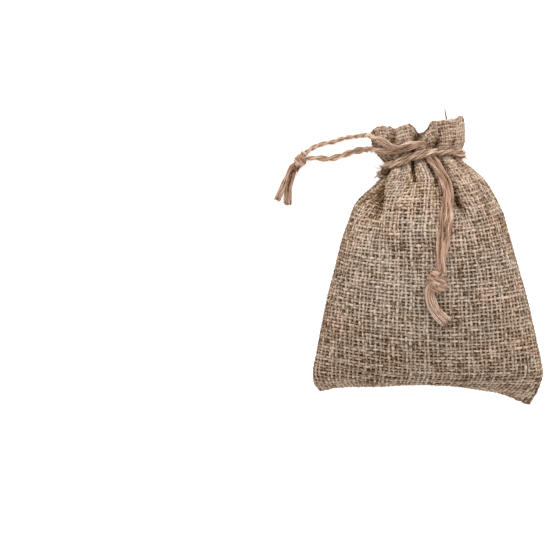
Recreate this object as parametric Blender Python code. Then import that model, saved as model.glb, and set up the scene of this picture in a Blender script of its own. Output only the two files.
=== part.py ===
"""A small burlap sack, filled, tied at the neck with jute cord and lying on its back.

Lengths in the tables are millimetres: x to the sack's right, y towards its mouth, z up from the
surface that it lies on. The cloth is described by where its two side seams and the two centre lines
of its panels run, by the section between them, and by the creases that gather it at the tie.
"""

from math import pi

import bmesh
import bpy
import numpy as np

MM = 0.001

# Cloth, measured along the panel from the bottom fold.
TIE_AT = 121.0
MOUTH_AT = 135.0
CLOTH_THICKNESS = 1.3
HOLLOW_DEPTH = 8.0
HOLLOW_CLOSING = 0.9
HOLLOW_CURVE = 1.5

# Mesh density.
POINTS_AROUND = 76
BODY_ROWS = 32
ROW_CROWDING = 0.9
TIE_ROWS = 3
TIE_GROOVE = 3.0
HEADING_ROWS = 6
HOLLOW_ROWS = 5
OUTLINE_SAMPLES = 400
LINE_SAMPLES = 400
CORD_SAMPLES = 2000
SPAN_SAMPLES = 40
CENTRIPETAL = 0.5

# Cord.
CORD_DIAMETER = 2.2
END_DIAMETER = 3.4
CORD_BEVEL_LEVEL = 2
CORD_POINT_SPACING = 5.0
BAND_POINT_SPACING = 3.0

# Where the cloth's edges run, from the bottom fold to the tie: (x, y, z).
LEFT_SEAM = [
    (-48.8, -57.0, 3.6),
    (-51.2, -54.6, 4.4),
    (-52.0, -50.6, 5.8),
    (-50.2, -41.5, 9.0),
    (-45.7, -18.1, 12.5),
    (-41.6, -1.9, 14.0),
    (-38.9, 8.9, 14.5),
    (-35.8, 17.9, 14.5),
    (-33.0, 25.1, 14.2),
    (-29.4, 29.4, 13.9),
    (-25.2, 33.0, 13.5),
    (-21.6, 36.6, 13.0),
    (-18.6, 41.8, 12.5),
]
RIGHT_SEAM = [
    (46.2, -64.2, 3.2),
    (49.8, -58.8, 4.2),
    (52.0, -51.4, 6.0),
    (51.1, -46.0, 8.0),
    (48.8, -36.1, 11.0),
    (44.8, -18.1, 13.5),
    (40.3, -1.9, 14.5),
    (36.2, 12.5, 15.0),
    (33.6, 21.6, 15.0),
    (29.4, 30.0, 15.0),
    (25.6, 35.9, 15.0),
    (20.8, 40.6, 14.3),
    (16.8, 44.0, 13.7),
    (14.8, 47.0, 13.3),
]
# The middle of each panel, from the bottom fold to the tie: (y, z).
FRONT_CENTRE = [
    (-56.6, 4.6),
    (-56.8, 8.6),
    (-55.8, 12.8),
    (-53.0, 17.2),
    (-48.6, 21.2),
    (-42.8, 24.6),
    (-35.6, 27.8),
    (-27.1, 30.7),
    (-18.1, 33.0),
    (-9.1, 34.7),
    (0.0, 35.7),
    (8.9, 35.8),
    (17.9, 34.6),
    (24.6, 32.6),
    (31.4, 29.4),
    (36.8, 26.2),
    (42.0, 22.8),
    (48.2, 19.6),
]
BACK_CENTRE = [
    (-56.6, 2.6),
    (-55.0, 0.9),
    (-51.0, 0.0),
    (-40.0, 0.0),
    (-20.0, 0.0),
    (0.0, 0.0),
    (18.0, 0.0),
    (28.0, 1.4),
    (38.0, 4.4),
    (46.0, 6.6),
]
# The heading above the tie: the same four lines, from the tie to the mouth.
LEFT_HEADING = [(-18.6, 41.8, 12.5), (-22.0, 45.8, 12.4), (-25.0, 51.4, 12.2), (-26.1, 56.8, 12.0)]
RIGHT_HEADING = [(14.8, 47.0, 13.3), (16.6, 50.6, 12.8), (17.0, 57.0, 12.3), (16.3, 64.0, 12.0)]
FRONT_HEADING = [(48.2, 19.6), (51.0, 20.4), (54.6, 22.0), (59.4, 23.4)]
BACK_HEADING = [(46.0, 6.6), (49.0, 4.6), (53.0, 2.2), (57.5, 0.8)]
# The hem's edge seen from the front, as the pleats raise and lower it: (x, y).
MOUTH_EDGE = [
    (-26.1, 56.8),
    (-23.8, 59.2),
    (-20.2, 60.2),
    (-17.2, 59.6),
    (-15.5, 58.1),
    (-13.4, 59.5),
    (-10.1, 60.9),
    (-6.6, 59.7),
    (-3.8, 56.8),
    (-1.4, 58.6),
    (1.0, 60.6),
    (3.2, 62.2),
    (8.3, 63.3),
    (12.4, 63.9),
    (16.3, 64.0),
]

# Roundness of the section at cloth lengths from the bottom fold: the exponent of the panel's curve
# (2 is an ellipse) and the part of the half width that is level, on the front and on the back:
# (cloth length, front exponent, front level part, back exponent, back level part).
SECTIONS = [
    (0.0, 2.0, 0.30, 2.0, 0.55),
    (12.0, 2.1, 0.20, 2.0, 0.55),
    (40.0, 2.2, 0.10, 2.0, 0.55),
    (80.0, 2.2, 0.00, 2.0, 0.50),
    (100.0, 2.1, 0.00, 2.0, 0.30),
    (TIE_AT, 2.2, 0.10, 2.2, 0.10),
    (MOUTH_AT, 2.4, 0.20, 2.4, 0.20),
]

# Creases that gather the cloth. Each runs down from the mouth, over the tie, and fades out on the
# body: (cloth length from the bottom fold, x, depth, half width).
FRONT_CREASES = {
    "left_valley": [
        (MOUTH_AT, -15.5, 3.2, 2.0),
        (TIE_AT, -16.8, 4.0, 1.5),
        (108.0, -19.4, 4.6, 2.4),
        (96.0, -20.6, 4.2, 3.6),
        (84.0, -21.6, 1.6, 5.0),
        (74.0, -22.6, 0.0, 6.0),
    ],
    "left_pleat": [
        (MOUTH_AT, -10.0, 0.0, 1.5),
        (TIE_AT, -11.0, 1.2, 1.2),
        (108.0, -11.6, 0.5, 2.0),
        (100.0, -12.0, 0.0, 2.0),
    ],
    "centre_crease": [
        (MOUTH_AT, -3.8, 6.0, 2.2),
        (TIE_AT, -5.4, 4.4, 1.4),
        (112.0, -5.6, 3.6, 1.3),
        (106.0, -4.4, 1.4, 1.8),
        (98.0, -2.0, 0.0, 3.0),
    ],
    "right_valley": [
        (MOUTH_AT, 6.8, 3.0, 1.8),
        (TIE_AT, 3.6, 4.0, 1.5),
        (108.0, 9.6, 4.2, 2.2),
        (98.0, 12.4, 4.2, 3.2),
        (86.0, 12.8, 2.0, 4.5),
        (74.0, 12.0, 0.0, 6.0),
    ],
    "right_shoulder": [
        (MOUTH_AT, 12.0, 0.0, 1.5),
        (TIE_AT, 12.2, 2.4, 1.4),
        (108.0, 19.6, 1.5, 2.4),
        (96.0, 24.6, 0.8, 3.0),
        (84.0, 28.0, 0.0, 3.0),
    ],
}
BACK_CREASES = {
    "back_far_left": [
        (MOUTH_AT, -18.0, 3.0, 2.0),
        (TIE_AT, -14.6, 3.0, 1.5),
        (108.0, -16.4, 2.6, 2.6),
        (94.0, -20.0, 0.0, 5.0),
    ],
    "back_left": [
        (MOUTH_AT, -8.4, 4.2, 2.0),
        (TIE_AT, -8.0, 4.0, 1.5),
        (108.0, -8.4, 2.6, 2.4),
        (97.0, -9.0, 0.0, 4.0),
    ],
    "back_middle": [
        (MOUTH_AT, 1.6, 3.6, 2.0),
        (TIE_AT, -1.4, 3.6, 1.4),
        (108.0, 0.6, 2.6, 2.4),
        (97.0, 1.6, 0.0, 4.0),
    ],
    "back_right": [
        (MOUTH_AT, 9.4, 4.0, 2.0),
        (TIE_AT, 6.6, 4.0, 1.5),
        (108.0, 10.6, 3.0, 2.6),
        (94.0, 14.0, 0.0, 5.0),
    ],
}
CREASE_SHARPNESS = 1.3

# The cord pulled round the neck, doubled: two closed rings (x, y, z), from the sack's left side
# over the front to its right side and back underneath.
NECK_BANDS = {
    "neck_band_upper": [
        (-21.6, 43.0, 12.6),
        (-20.3, 43.2, 15.8),
        (-17.0, 43.9, 18.1),
        (-13.0, 45.2, 20.2),
        (-8.8, 46.9, 21.0),
        (-5.0, 48.0, 23.1),
        (-1.4, 48.8, 24.0),
        (1.8, 49.3, 23.8),
        (5.2, 49.6, 22.3),
        (8.8, 49.8, 20.6),
        (12.6, 49.6, 18.9),
        (16.0, 49.0, 16.8),
        (17.4, 48.5, 13.2),
        (16.5, 48.1, 9.1),
        (12.6, 47.6, 6.3),
        (7.6, 47.0, 5.0),
        (2.0, 46.3, 4.7),
        (-4.0, 45.6, 4.8),
        (-10.0, 44.7, 5.3),
        (-15.6, 43.6, 6.6),
        (-20.3, 42.8, 9.0),
    ],
    "neck_band_lower": [
        (-21.4, 40.4, 12.6),
        (-20.2, 40.8, 15.9),
        (-17.2, 41.4, 18.7),
        (-13.1, 42.7, 21.5),
        (-8.8, 44.3, 22.3),
        (-5.0, 45.4, 23.9),
        (-1.0, 46.1, 25.1),
        (2.4, 46.5, 24.9),
        (5.6, 46.7, 23.1),
        (8.9, 47.1, 21.3),
        (12.6, 46.7, 18.8),
        (16.1, 46.3, 16.8),
        (17.5, 45.9, 13.4),
        (16.3, 45.4, 9.6),
        (12.6, 44.9, 6.6),
        (7.6, 44.3, 5.0),
        (2.0, 43.6, 4.5),
        (-4.0, 42.9, 4.6),
        (-10.0, 42.1, 5.2),
        (-15.6, 41.1, 6.8),
        (-20.0, 40.3, 9.1),
    ],
}
# The strands that lie free, each from under the neck band to its knot: (x, y, z).
STRANDS = {
    "left_strand_a": [
        (-1.3, 52.5, 22.5),
        (-3.2, 52.9, 23.2),
        (-6.5, 52.2, 23.8),
        (-9.8, 51.3, 24.0),
        (-13.3, 50.6, 23.4),
        (-17.0, 51.3, 21.9),
        (-20.6, 52.9, 21.2),
        (-23.6, 54.2, 20.0),
        (-26.5, 55.4, 17.7),
        (-28.3, 56.0, 13.7),
        (-29.3, 56.1, 8.6),
        (-30.4, 56.2, 4.2),
        (-33.2, 56.1, 1.8),
        (-37.6, 55.4, 1.2),
        (-42.5, 53.8, 1.2),
        (-46.6, 53.0, 1.2),
        (-50.6, 51.6, 1.5),
        (-54.9, 48.7, 2.4),
    ],
    "left_strand_b": [
        (-2.0, 49.0, 21.2),
        (-3.6, 50.4, 21.4),
        (-6.4, 50.9, 21.6),
        (-9.4, 50.2, 21.7),
        (-12.6, 49.1, 21.2),
        (-16.0, 48.3, 19.9),
        (-19.3, 48.3, 18.8),
        (-22.8, 48.6, 17.9),
        (-24.8, 49.5, 14.2),
        (-26.4, 49.8, 9.6),
        (-27.9, 49.9, 5.0),
        (-30.6, 49.8, 2.0),
        (-34.2, 49.1, 1.2),
        (-38.2, 47.6, 1.2),
        (-42.2, 46.4, 1.2),
        (-46.6, 46.2, 1.2),
        (-50.4, 46.5, 1.4),
        (-53.9, 46.2, 2.1),
    ],
    "front_strand_a": [
        (1.5, 47.9, 20.9),
        (2.3, 45.3, 22.1),
        (3.9, 42.7, 24.0),
        (6.0, 39.6, 25.6),
        (7.5, 35.9, 27.2),
        (8.4, 32.3, 29.0),
        (8.8, 28.0, 31.1),
        (8.6, 23.0, 33.3),
        (7.9, 17.9, 35.1),
        (7.3, 13.2, 36.1),
        (6.9, 8.8, 37.2),
        (5.8, 4.6, 38.6),
        (4.9, 0.4, 39.3),
        (4.9, -3.2, 39.2),
        (5.0, -6.2, 38.7),
    ],
    "front_strand_b": [
        (-1.3, 47.1, 21.7),
        (-0.6, 44.6, 22.8),
        (0.9, 41.7, 25.0),
        (2.9, 38.7, 27.0),
        (4.5, 35.0, 28.9),
        (5.4, 31.3, 30.7),
        (5.9, 27.1, 32.7),
        (5.6, 22.6, 34.4),
        (5.0, 17.7, 35.9),
        (4.3, 12.8, 36.6),
        (3.6, 8.2, 37.2),
        (3.2, 3.6, 37.3),
        (3.1, -1.4, 37.2),
        (2.8, -5.6, 37.2),
    ],
}
# The cut ends beyond the knots, which flare as their fibres come loose: (x, y, z).
LOOSE_ENDS = {
    "left_end_a": [
        (-61.5, 42.3, 1.5),
        (-63.3, 38.3, 1.5),
        (-64.8, 34.1, 1.6),
        (-66.1, 30.2, 1.8),
        (-67.3, 26.8, 1.9),
    ],
    "left_end_b": [
        (-59.0, 40.4, 1.5),
        (-60.5, 36.7, 1.5),
        (-61.9, 32.9, 1.6),
        (-62.8, 28.9, 1.8),
        (-63.5, 24.9, 1.9),
    ],
    "front_end": [
        (-0.7, -13.6, 36.6),
        (-0.6, -16.6, 36.0),
        (0.7, -20.5, 35.4),
        (3.4, -24.5, 34.6),
        (7.0, -28.0, 33.2),
    ],
}
# The knots: centre, the way the cord runs through, and the sizes along it, across it and upwards.
KNOTS = {
    "left_knot": ((-57.4, 44.9, 2.6), (-0.41, -0.91), (8.0, 5.8, 5.0)),
    "front_knot": ((2.3, -10.0, 37.7), (-0.5, -0.87), (7.4, 6.8, 5.0)),
}
KNOT_TURNS = 2.0
KNOT_RIDGE = 0.10
KNOT_RINGS = 10
KNOT_SIDES = 16


def line_through(points, samples=LINE_SAMPLES):
    """A smooth line through the points, sampled at even steps of its own length."""
    points = np.array(points, float)
    ends = np.vstack([2 * points[0] - points[1], points, 2 * points[-1] - points[-2]])
    spans = np.linalg.norm(np.diff(ends, axis=0), axis=1) ** CENTRIPETAL
    knots = np.concatenate([[0.0], np.cumsum(spans)])
    pieces = []
    for i in range(1, len(ends) - 2):
        t = np.linspace(knots[i], knots[i + 1], SPAN_SAMPLES, endpoint=False)[:, None]
        t0, t1, t2, t3 = knots[i - 1 : i + 3]
        p0, p1, p2, p3 = ends[i - 1 : i + 3]
        a1 = (t1 - t) / (t1 - t0) * p0 + (t - t0) / (t1 - t0) * p1
        a2 = (t2 - t) / (t2 - t1) * p1 + (t - t1) / (t2 - t1) * p2
        a3 = (t3 - t) / (t3 - t2) * p2 + (t - t2) / (t3 - t2) * p3
        b1 = (t2 - t) / (t2 - t0) * a1 + (t - t0) / (t2 - t0) * a2
        b2 = (t3 - t) / (t3 - t1) * a2 + (t - t1) / (t3 - t1) * a3
        pieces.append((t2 - t) / (t2 - t1) * b1 + (t - t1) / (t2 - t1) * b2)
    return evenly(np.vstack(pieces + [points[-1:]]), samples)


def lengths_along(line):
    return np.concatenate([[0.0], np.cumsum(np.linalg.norm(np.diff(line, axis=0), axis=1))])


def evenly(line, samples):
    run = lengths_along(line)
    at = np.linspace(0.0, run[-1], samples)
    return np.column_stack([np.interp(at, run, line[:, k]) for k in range(line.shape[1])])


def at_fraction(line, fraction):
    place = fraction * (len(line) - 1)
    return np.array([np.interp(place, np.arange(len(line)), line[:, k]) for k in range(line.shape[1])])


def column(rows, at, index):
    """Read one column of a table at a cloth length, eased between its rows."""
    ordered = sorted(rows)
    keys = np.array([row[0] for row in ordered])
    values = np.array([row[index] for row in ordered])
    slot = int(np.clip(np.searchsorted(keys, at) - 1, 0, len(keys) - 2))
    share = np.clip((at - keys[slot]) / (keys[slot + 1] - keys[slot]), 0.0, 1.0)
    share = share * share * (3.0 - 2.0 * share)
    return values[slot] + (values[slot + 1] - values[slot]) * share


BODY_LINES = [line_through(p) for p in (LEFT_SEAM, RIGHT_SEAM, FRONT_CENTRE, BACK_CENTRE)]
HEADING_LINES = [line_through(p) for p in (LEFT_HEADING, RIGHT_HEADING, FRONT_HEADING, BACK_HEADING)]
MOUTH_LINE = line_through(MOUTH_EDGE)


def guides(at):
    """The two seams (x, y, z) and the two centre lines (y, z) at a cloth length."""
    if at <= TIE_AT:
        lines = [at_fraction(line, at / TIE_AT) for line in BODY_LINES]
        lines[3][1] = max(lines[3][1], 0.0)
        return lines
    share = (at - TIE_AT) / (MOUTH_AT - TIE_AT)
    return [at_fraction(line, share) for line in HEADING_LINES]


def rounding(across, power, level):
    """Height of the section's curve, 1 in the middle and 0 at the seams."""
    beyond = np.clip((np.abs(across) - level) / (1.0 - level), 0.0, 1.0)
    return (1.0 - beyond**power) ** (1.0 / power)


def creased(x, z, at, creases, outward):
    """Push the section's curve inwards along each crease."""
    run = lengths_along(np.column_stack([x, z]))
    slope = np.column_stack([np.gradient(x), np.gradient(z)])
    slope /= np.maximum(np.linalg.norm(slope, axis=1, keepdims=True), 1e-9)
    inward = outward * np.column_stack([slope[:, 1], -slope[:, 0]])
    push = np.zeros(len(x))
    for rows in creases.values():
        centre = np.interp(column(rows, at, 1), x, run)
        width = column(rows, at, 3)
        push += column(rows, at, 2) * np.exp(-((np.abs(run - centre) / width) ** CREASE_SHARPNESS))
    return x + push * inward[:, 0], z + push * inward[:, 1]


def panel(at, front):
    """One panel's section, from the left seam to the right seam, as points (x, y, z)."""
    left, right, front_centre, back_centre = guides(at)
    centre = front_centre if front else back_centre
    across = np.sin(np.linspace(-pi / 2, pi / 2, OUTLINE_SAMPLES))
    share = (1.0 + across) / 2.0
    x = left[0] + (right[0] - left[0]) * share
    seam_y = left[1] + (right[1] - left[1]) * share
    seam_z = left[2] + (right[2] - left[2]) * share
    y = seam_y + (centre[0] - (left[1] + right[1]) / 2.0) * (1.0 - across**2)
    if front and at > TIE_AT:
        tie_y = panel(TIE_AT, True)[:, 1]
        edge_y = np.interp(x, MOUTH_LINE[:, 0], MOUTH_LINE[:, 1])
        y = tie_y + (edge_y - tie_y) * (at - TIE_AT) / (MOUTH_AT - TIE_AT)
    power = column(SECTIONS, at, 1 if front else 3)
    level = column(SECTIONS, at, 2 if front else 4)
    z = seam_z + (centre[1] - seam_z) * rounding(across, power, level)
    creases = FRONT_CREASES if front else BACK_CREASES
    x, z = creased(x, z, at, creases, 1.0 if front else -1.0)
    return np.column_stack([x, y, z])


def section(at):
    """The whole closed section: along the front to the right seam, and back underneath."""
    half = POINTS_AROUND // 2
    front = evenly(panel(at, True), half + 1)
    back = evenly(panel(at, False), half + 1)
    return np.vstack([front, back[-2:0:-1]])


def inner_section(at, openness):
    """The heading's inner face: a cloth's thickness in, and closing towards the tie."""
    outer = section(at)
    slope = np.roll(outer, -1, axis=0) - np.roll(outer, 1, axis=0)
    inward = np.column_stack([slope[:, 2], np.zeros(len(outer)), -slope[:, 0]])
    inward /= np.linalg.norm(inward, axis=1, keepdims=True)
    inner = outer + inward * CLOTH_THICKNESS
    across = np.roll(inner[::-1], 1, axis=0)
    middle = (inner + across) / 2.0
    return middle + (inner - middle) * openness


def sack_mesh():
    """Outer face from the bottom fold to the mouth, and the heading's inner face down to the tie."""
    body = np.linspace(0.0, 1.0, BODY_ROWS) ** ROW_CROWDING * (TIE_AT - TIE_GROOVE)
    tie = np.linspace(TIE_AT - TIE_GROOVE, TIE_AT, TIE_ROWS)[1:]
    heading = np.linspace(TIE_AT, MOUTH_AT, HEADING_ROWS)[1:]
    rows = [section(at) for at in np.concatenate([body, tie, heading])]
    for step in np.linspace(0.0, 1.0, HOLLOW_ROWS):
        openness = 1.0 - HOLLOW_CLOSING * step**HOLLOW_CURVE
        rows.append(inner_section(MOUTH_AT - HOLLOW_DEPTH * step, openness))

    mesh = bmesh.new()
    loops = [[mesh.verts.new(point * MM) for point in row] for row in rows]
    for lower, upper in zip(loops, loops[1:]):
        for i in range(POINTS_AROUND):
            j = (i + 1) % POINTS_AROUND
            mesh.faces.new((lower[i], lower[j], upper[j], upper[i]))
    for loop in (loops[0], loops[-1]):
        close_flat(mesh, loop)
    bmesh.ops.recalc_face_normals(mesh, faces=mesh.faces)
    bmesh.ops.triangulate(mesh, faces=mesh.faces)
    return mesh


def close_flat(mesh, loop):
    """Join the front half of a flattened loop to its back half."""
    half = len(loop) // 2
    mesh.faces.new((loop[0], loop[1], loop[-1]))
    mesh.faces.new((loop[half], loop[half + 1], loop[half - 1]))
    for i in range(1, half - 1):
        mesh.faces.new((loop[i], loop[i + 1], loop[-i - 1], loop[-i]))


def material(name, colour, roughness):
    made = bpy.data.materials.new(name)
    made.use_nodes = True
    shader = made.node_tree.nodes["Principled BSDF"]
    shader.inputs["Base Color"].default_value = (*colour, 1.0)
    shader.inputs["Roughness"].default_value = roughness
    shader.inputs["Metallic"].default_value = 0.0
    return made


def add(name, mesh, made_of):
    data = bpy.data.meshes.new(name)
    mesh.to_mesh(data)
    mesh.free()
    data.materials.append(made_of)
    thing = bpy.data.objects.new(name, data)
    bpy.context.scene.collection.objects.link(thing)
    data.shade_smooth()
    return thing


def cord(name, points, made_of, spacing, end_scale=1.0, closed=False):
    """A round cord through the points, widening evenly to end_scale times its diameter."""
    if closed:
        points = points[-3:] + points + points[:3]
    line = line_through(points, CORD_SAMPLES)
    if closed:
        line = one_turn(line, points[3], points[-3])
    line = evenly(line, int(lengths_along(line)[-1] / spacing) + 1)
    if closed:
        line = line[:-1]
    curve = bpy.data.curves.new(name, "CURVE")
    curve.dimensions = "3D"
    curve.bevel_depth = CORD_DIAMETER / 2 * MM
    curve.bevel_resolution = CORD_BEVEL_LEVEL
    curve.use_fill_caps = not closed
    spline = curve.splines.new("POLY")
    spline.points.add(len(line) - 1)
    for i, (point, place) in enumerate(zip(spline.points, line)):
        point.co = (*(place * MM), 1.0)
        point.radius = 1.0 + (end_scale - 1.0) * i / (len(line) - 1)
    spline.use_cyclic_u = closed
    curve.materials.append(made_of)
    thing = bpy.data.objects.new(name, curve)
    bpy.context.scene.collection.objects.link(thing)


def one_turn(line, start, end):
    """The stretch of a line between the two points nearest to start and end."""
    first = np.argmin(np.linalg.norm(line[: len(line) // 2] - start, axis=1))
    last = len(line) // 2 + np.argmin(np.linalg.norm(line[len(line) // 2 :] - end, axis=1))
    return line[first : last + 1]


def knot(name, centre, direction, sizes, made_of):
    """An overhand knot's outer form: an egg along the cord with its turns as slanting ridges."""
    along = np.array([direction[0], direction[1], 0.0])
    along /= np.linalg.norm(along)
    side = np.array([-along[1], along[0], 0.0])
    up = np.array([0.0, 0.0, 1.0])
    mesh = bmesh.new()
    rings = []
    for i in range(1, KNOT_RINGS):
        polar = pi * i / KNOT_RINGS
        ring = []
        for j in range(KNOT_SIDES):
            turn = 2 * pi * j / KNOT_SIDES
            swell = 1.0 + KNOT_RIDGE * np.sin(polar) * np.sin(turn + 2 * pi * KNOT_TURNS * i / KNOT_RINGS)
            place = (
                np.array(centre)
                - along * np.cos(polar) * sizes[0] / 2
                + side * np.cos(turn) * np.sin(polar) * swell * sizes[1] / 2
                + up * np.sin(turn) * np.sin(polar) * sizes[2] / 2
            )
            ring.append(mesh.verts.new(place * MM))
        rings.append(ring)
    for near, far in zip(rings, rings[1:]):
        for j in range(KNOT_SIDES):
            k = (j + 1) % KNOT_SIDES
            mesh.faces.new((near[j], near[k], far[k], far[j]))
    for ring, sign in ((rings[0], -1), (rings[-1], 1)):
        tip = mesh.verts.new((np.array(centre) + sign * along * sizes[0] / 2) * MM)
        for j in range(KNOT_SIDES):
            mesh.faces.new((ring[j], ring[(j + 1) % KNOT_SIDES], tip))
    bmesh.ops.recalc_face_normals(mesh, faces=mesh.faces)
    add(name, mesh, made_of)


def clear_scene():
    for thing in list(bpy.data.objects):
        bpy.data.objects.remove(thing, do_unlink=True)


def build():
    clear_scene()
    add("sack", sack_mesh(), material("burlap", (0.36, 0.27, 0.19), 0.95))
    jute = material("jute_cord", (0.50, 0.33, 0.22), 0.9)
    for name, points in NECK_BANDS.items():
        cord(name, points, jute, BAND_POINT_SPACING, closed=True)
    for name, points in STRANDS.items():
        cord(name, points, jute, CORD_POINT_SPACING)
    for name, points in LOOSE_ENDS.items():
        cord(name, points, jute, CORD_POINT_SPACING, end_scale=END_DIAMETER / CORD_DIAMETER)
    for name, (centre, direction, sizes) in KNOTS.items():
        knot(name, centre, direction, sizes, jute)


build()
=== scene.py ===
"""The looks of the burlap sack: woven yarns over its filled form, twisted jute cords and their knots.

Lengths are millimetres in the frame's own axes: x to the sack's right, y towards its mouth and z up
from the floor. The cloth's form follows the frame's solid, with deeper creases, and the cords follow
its routes.
"""

from math import pi

import bpy
import numpy as np
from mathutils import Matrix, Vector


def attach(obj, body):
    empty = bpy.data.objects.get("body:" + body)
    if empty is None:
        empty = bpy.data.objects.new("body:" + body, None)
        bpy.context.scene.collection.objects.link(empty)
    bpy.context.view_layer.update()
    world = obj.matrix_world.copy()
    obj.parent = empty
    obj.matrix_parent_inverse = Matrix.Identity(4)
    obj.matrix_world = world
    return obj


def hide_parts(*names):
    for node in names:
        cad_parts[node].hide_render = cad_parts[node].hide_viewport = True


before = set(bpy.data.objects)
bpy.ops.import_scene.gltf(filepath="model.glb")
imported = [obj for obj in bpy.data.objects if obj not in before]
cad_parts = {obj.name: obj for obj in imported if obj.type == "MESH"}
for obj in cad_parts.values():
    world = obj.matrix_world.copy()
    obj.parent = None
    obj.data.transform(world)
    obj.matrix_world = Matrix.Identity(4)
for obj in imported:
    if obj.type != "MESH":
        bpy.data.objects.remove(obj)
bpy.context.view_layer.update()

MM = 0.001
BODY = "root"

# ---------------------------------------------------------------------------------------------
# The sack's form: the frame's lines and creases, deepened, with small dips at the fold and hem.

TIE_AT = 121.0
MOUTH_AT = 135.0
OUTLINE_SAMPLES = 1200
LINE_SAMPLES = 400
CORD_SAMPLES = 2000
SPAN_SAMPLES = 40
CENTRIPETAL = 0.5

# Where the cloth's edges run, from the bottom fold to the tie: (x, y, z).
LEFT_SEAM = [
    (-48.8, -57.0, 3.6), (-51.2, -54.6, 4.4), (-52.0, -50.6, 5.8), (-50.2, -41.5, 9.0),
    (-45.7, -18.1, 12.5), (-41.6, -1.9, 14.0), (-38.9, 8.9, 14.5), (-35.8, 17.9, 14.5),
    (-33.0, 25.1, 14.2), (-29.4, 29.4, 13.9), (-25.2, 33.0, 13.5), (-21.6, 36.6, 13.0),
    (-18.6, 41.8, 12.5),
]
RIGHT_SEAM = [
    (46.2, -64.2, 3.2), (49.8, -58.8, 4.2), (52.0, -51.4, 6.0), (51.1, -46.0, 8.0),
    (48.8, -36.1, 11.0), (44.8, -18.1, 13.5), (40.3, -1.9, 14.5), (36.2, 12.5, 15.0),
    (33.6, 21.6, 15.0), (29.4, 30.0, 15.0), (25.6, 35.9, 15.0), (20.8, 40.6, 14.3), (16.8, 44.0, 13.7),
    (14.8, 47.0, 13.3),
]
# The middle of each panel, from the bottom fold to the tie: (y, z).
FRONT_CENTRE = [
    (-56.6, 4.6), (-56.8, 8.6), (-55.8, 12.8), (-53.0, 17.2), (-48.6, 21.2), (-42.8, 24.6),
    (-35.6, 27.8), (-27.1, 30.7), (-18.1, 33.0), (-9.1, 34.7), (0.0, 35.7), (8.9, 35.8), (17.9, 34.6),
    (24.6, 32.6), (31.4, 29.4), (36.8, 26.2), (42.0, 22.8), (48.2, 19.6),
]
BACK_CENTRE = [
    (-56.6, 2.6), (-55.0, 0.9), (-51.0, 0.0), (-40.0, 0.0), (-20.0, 0.0), (0.0, 0.0), (18.0, 0.0),
    (28.0, 1.4), (38.0, 4.4), (46.0, 6.6),
]
# The heading above the tie: the same four lines, from the tie to the mouth.
LEFT_HEADING = [(-18.6, 41.8, 12.5), (-22.0, 45.8, 12.4), (-25.0, 51.4, 12.2), (-26.1, 56.8, 12.0)]
RIGHT_HEADING = [(14.8, 47.0, 13.3), (16.6, 50.6, 12.8), (17.0, 57.0, 12.3), (16.3, 64.0, 12.0)]
FRONT_HEADING = [(48.2, 19.6), (51.0, 20.4), (54.6, 22.0), (59.4, 23.4)]
BACK_HEADING = [(46.0, 6.6), (49.0, 4.6), (53.0, 2.2), (57.5, 0.8)]
# The hem's edge seen from the front, as the pleats raise and lower it: (x, y).
MOUTH_EDGE = [
    (-26.1, 56.8), (-23.8, 59.2), (-20.2, 60.2), (-17.2, 59.6), (-15.5, 58.1), (-13.4, 59.5),
    (-10.1, 60.9), (-6.6, 59.7), (-3.8, 56.8), (-1.4, 58.6), (1.0, 60.6), (3.2, 62.2), (8.3, 63.3),
    (12.4, 63.9), (16.3, 64.0),
]

# Roundness of the section: (cloth length, front exponent, front level part, back exponent,
# back level part).
SECTIONS = [
    (0.0, 2.0, 0.30, 2.0, 0.55),
    (12.0, 2.1, 0.20, 2.0, 0.55),
    (40.0, 2.2, 0.10, 2.0, 0.55),
    (80.0, 2.2, 0.00, 2.0, 0.50),
    (100.0, 2.1, 0.00, 2.0, 0.30),
    (TIE_AT, 2.2, 0.10, 2.2, 0.10),
    (MOUTH_AT, 2.4, 0.20, 2.4, 0.20),
]

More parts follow.
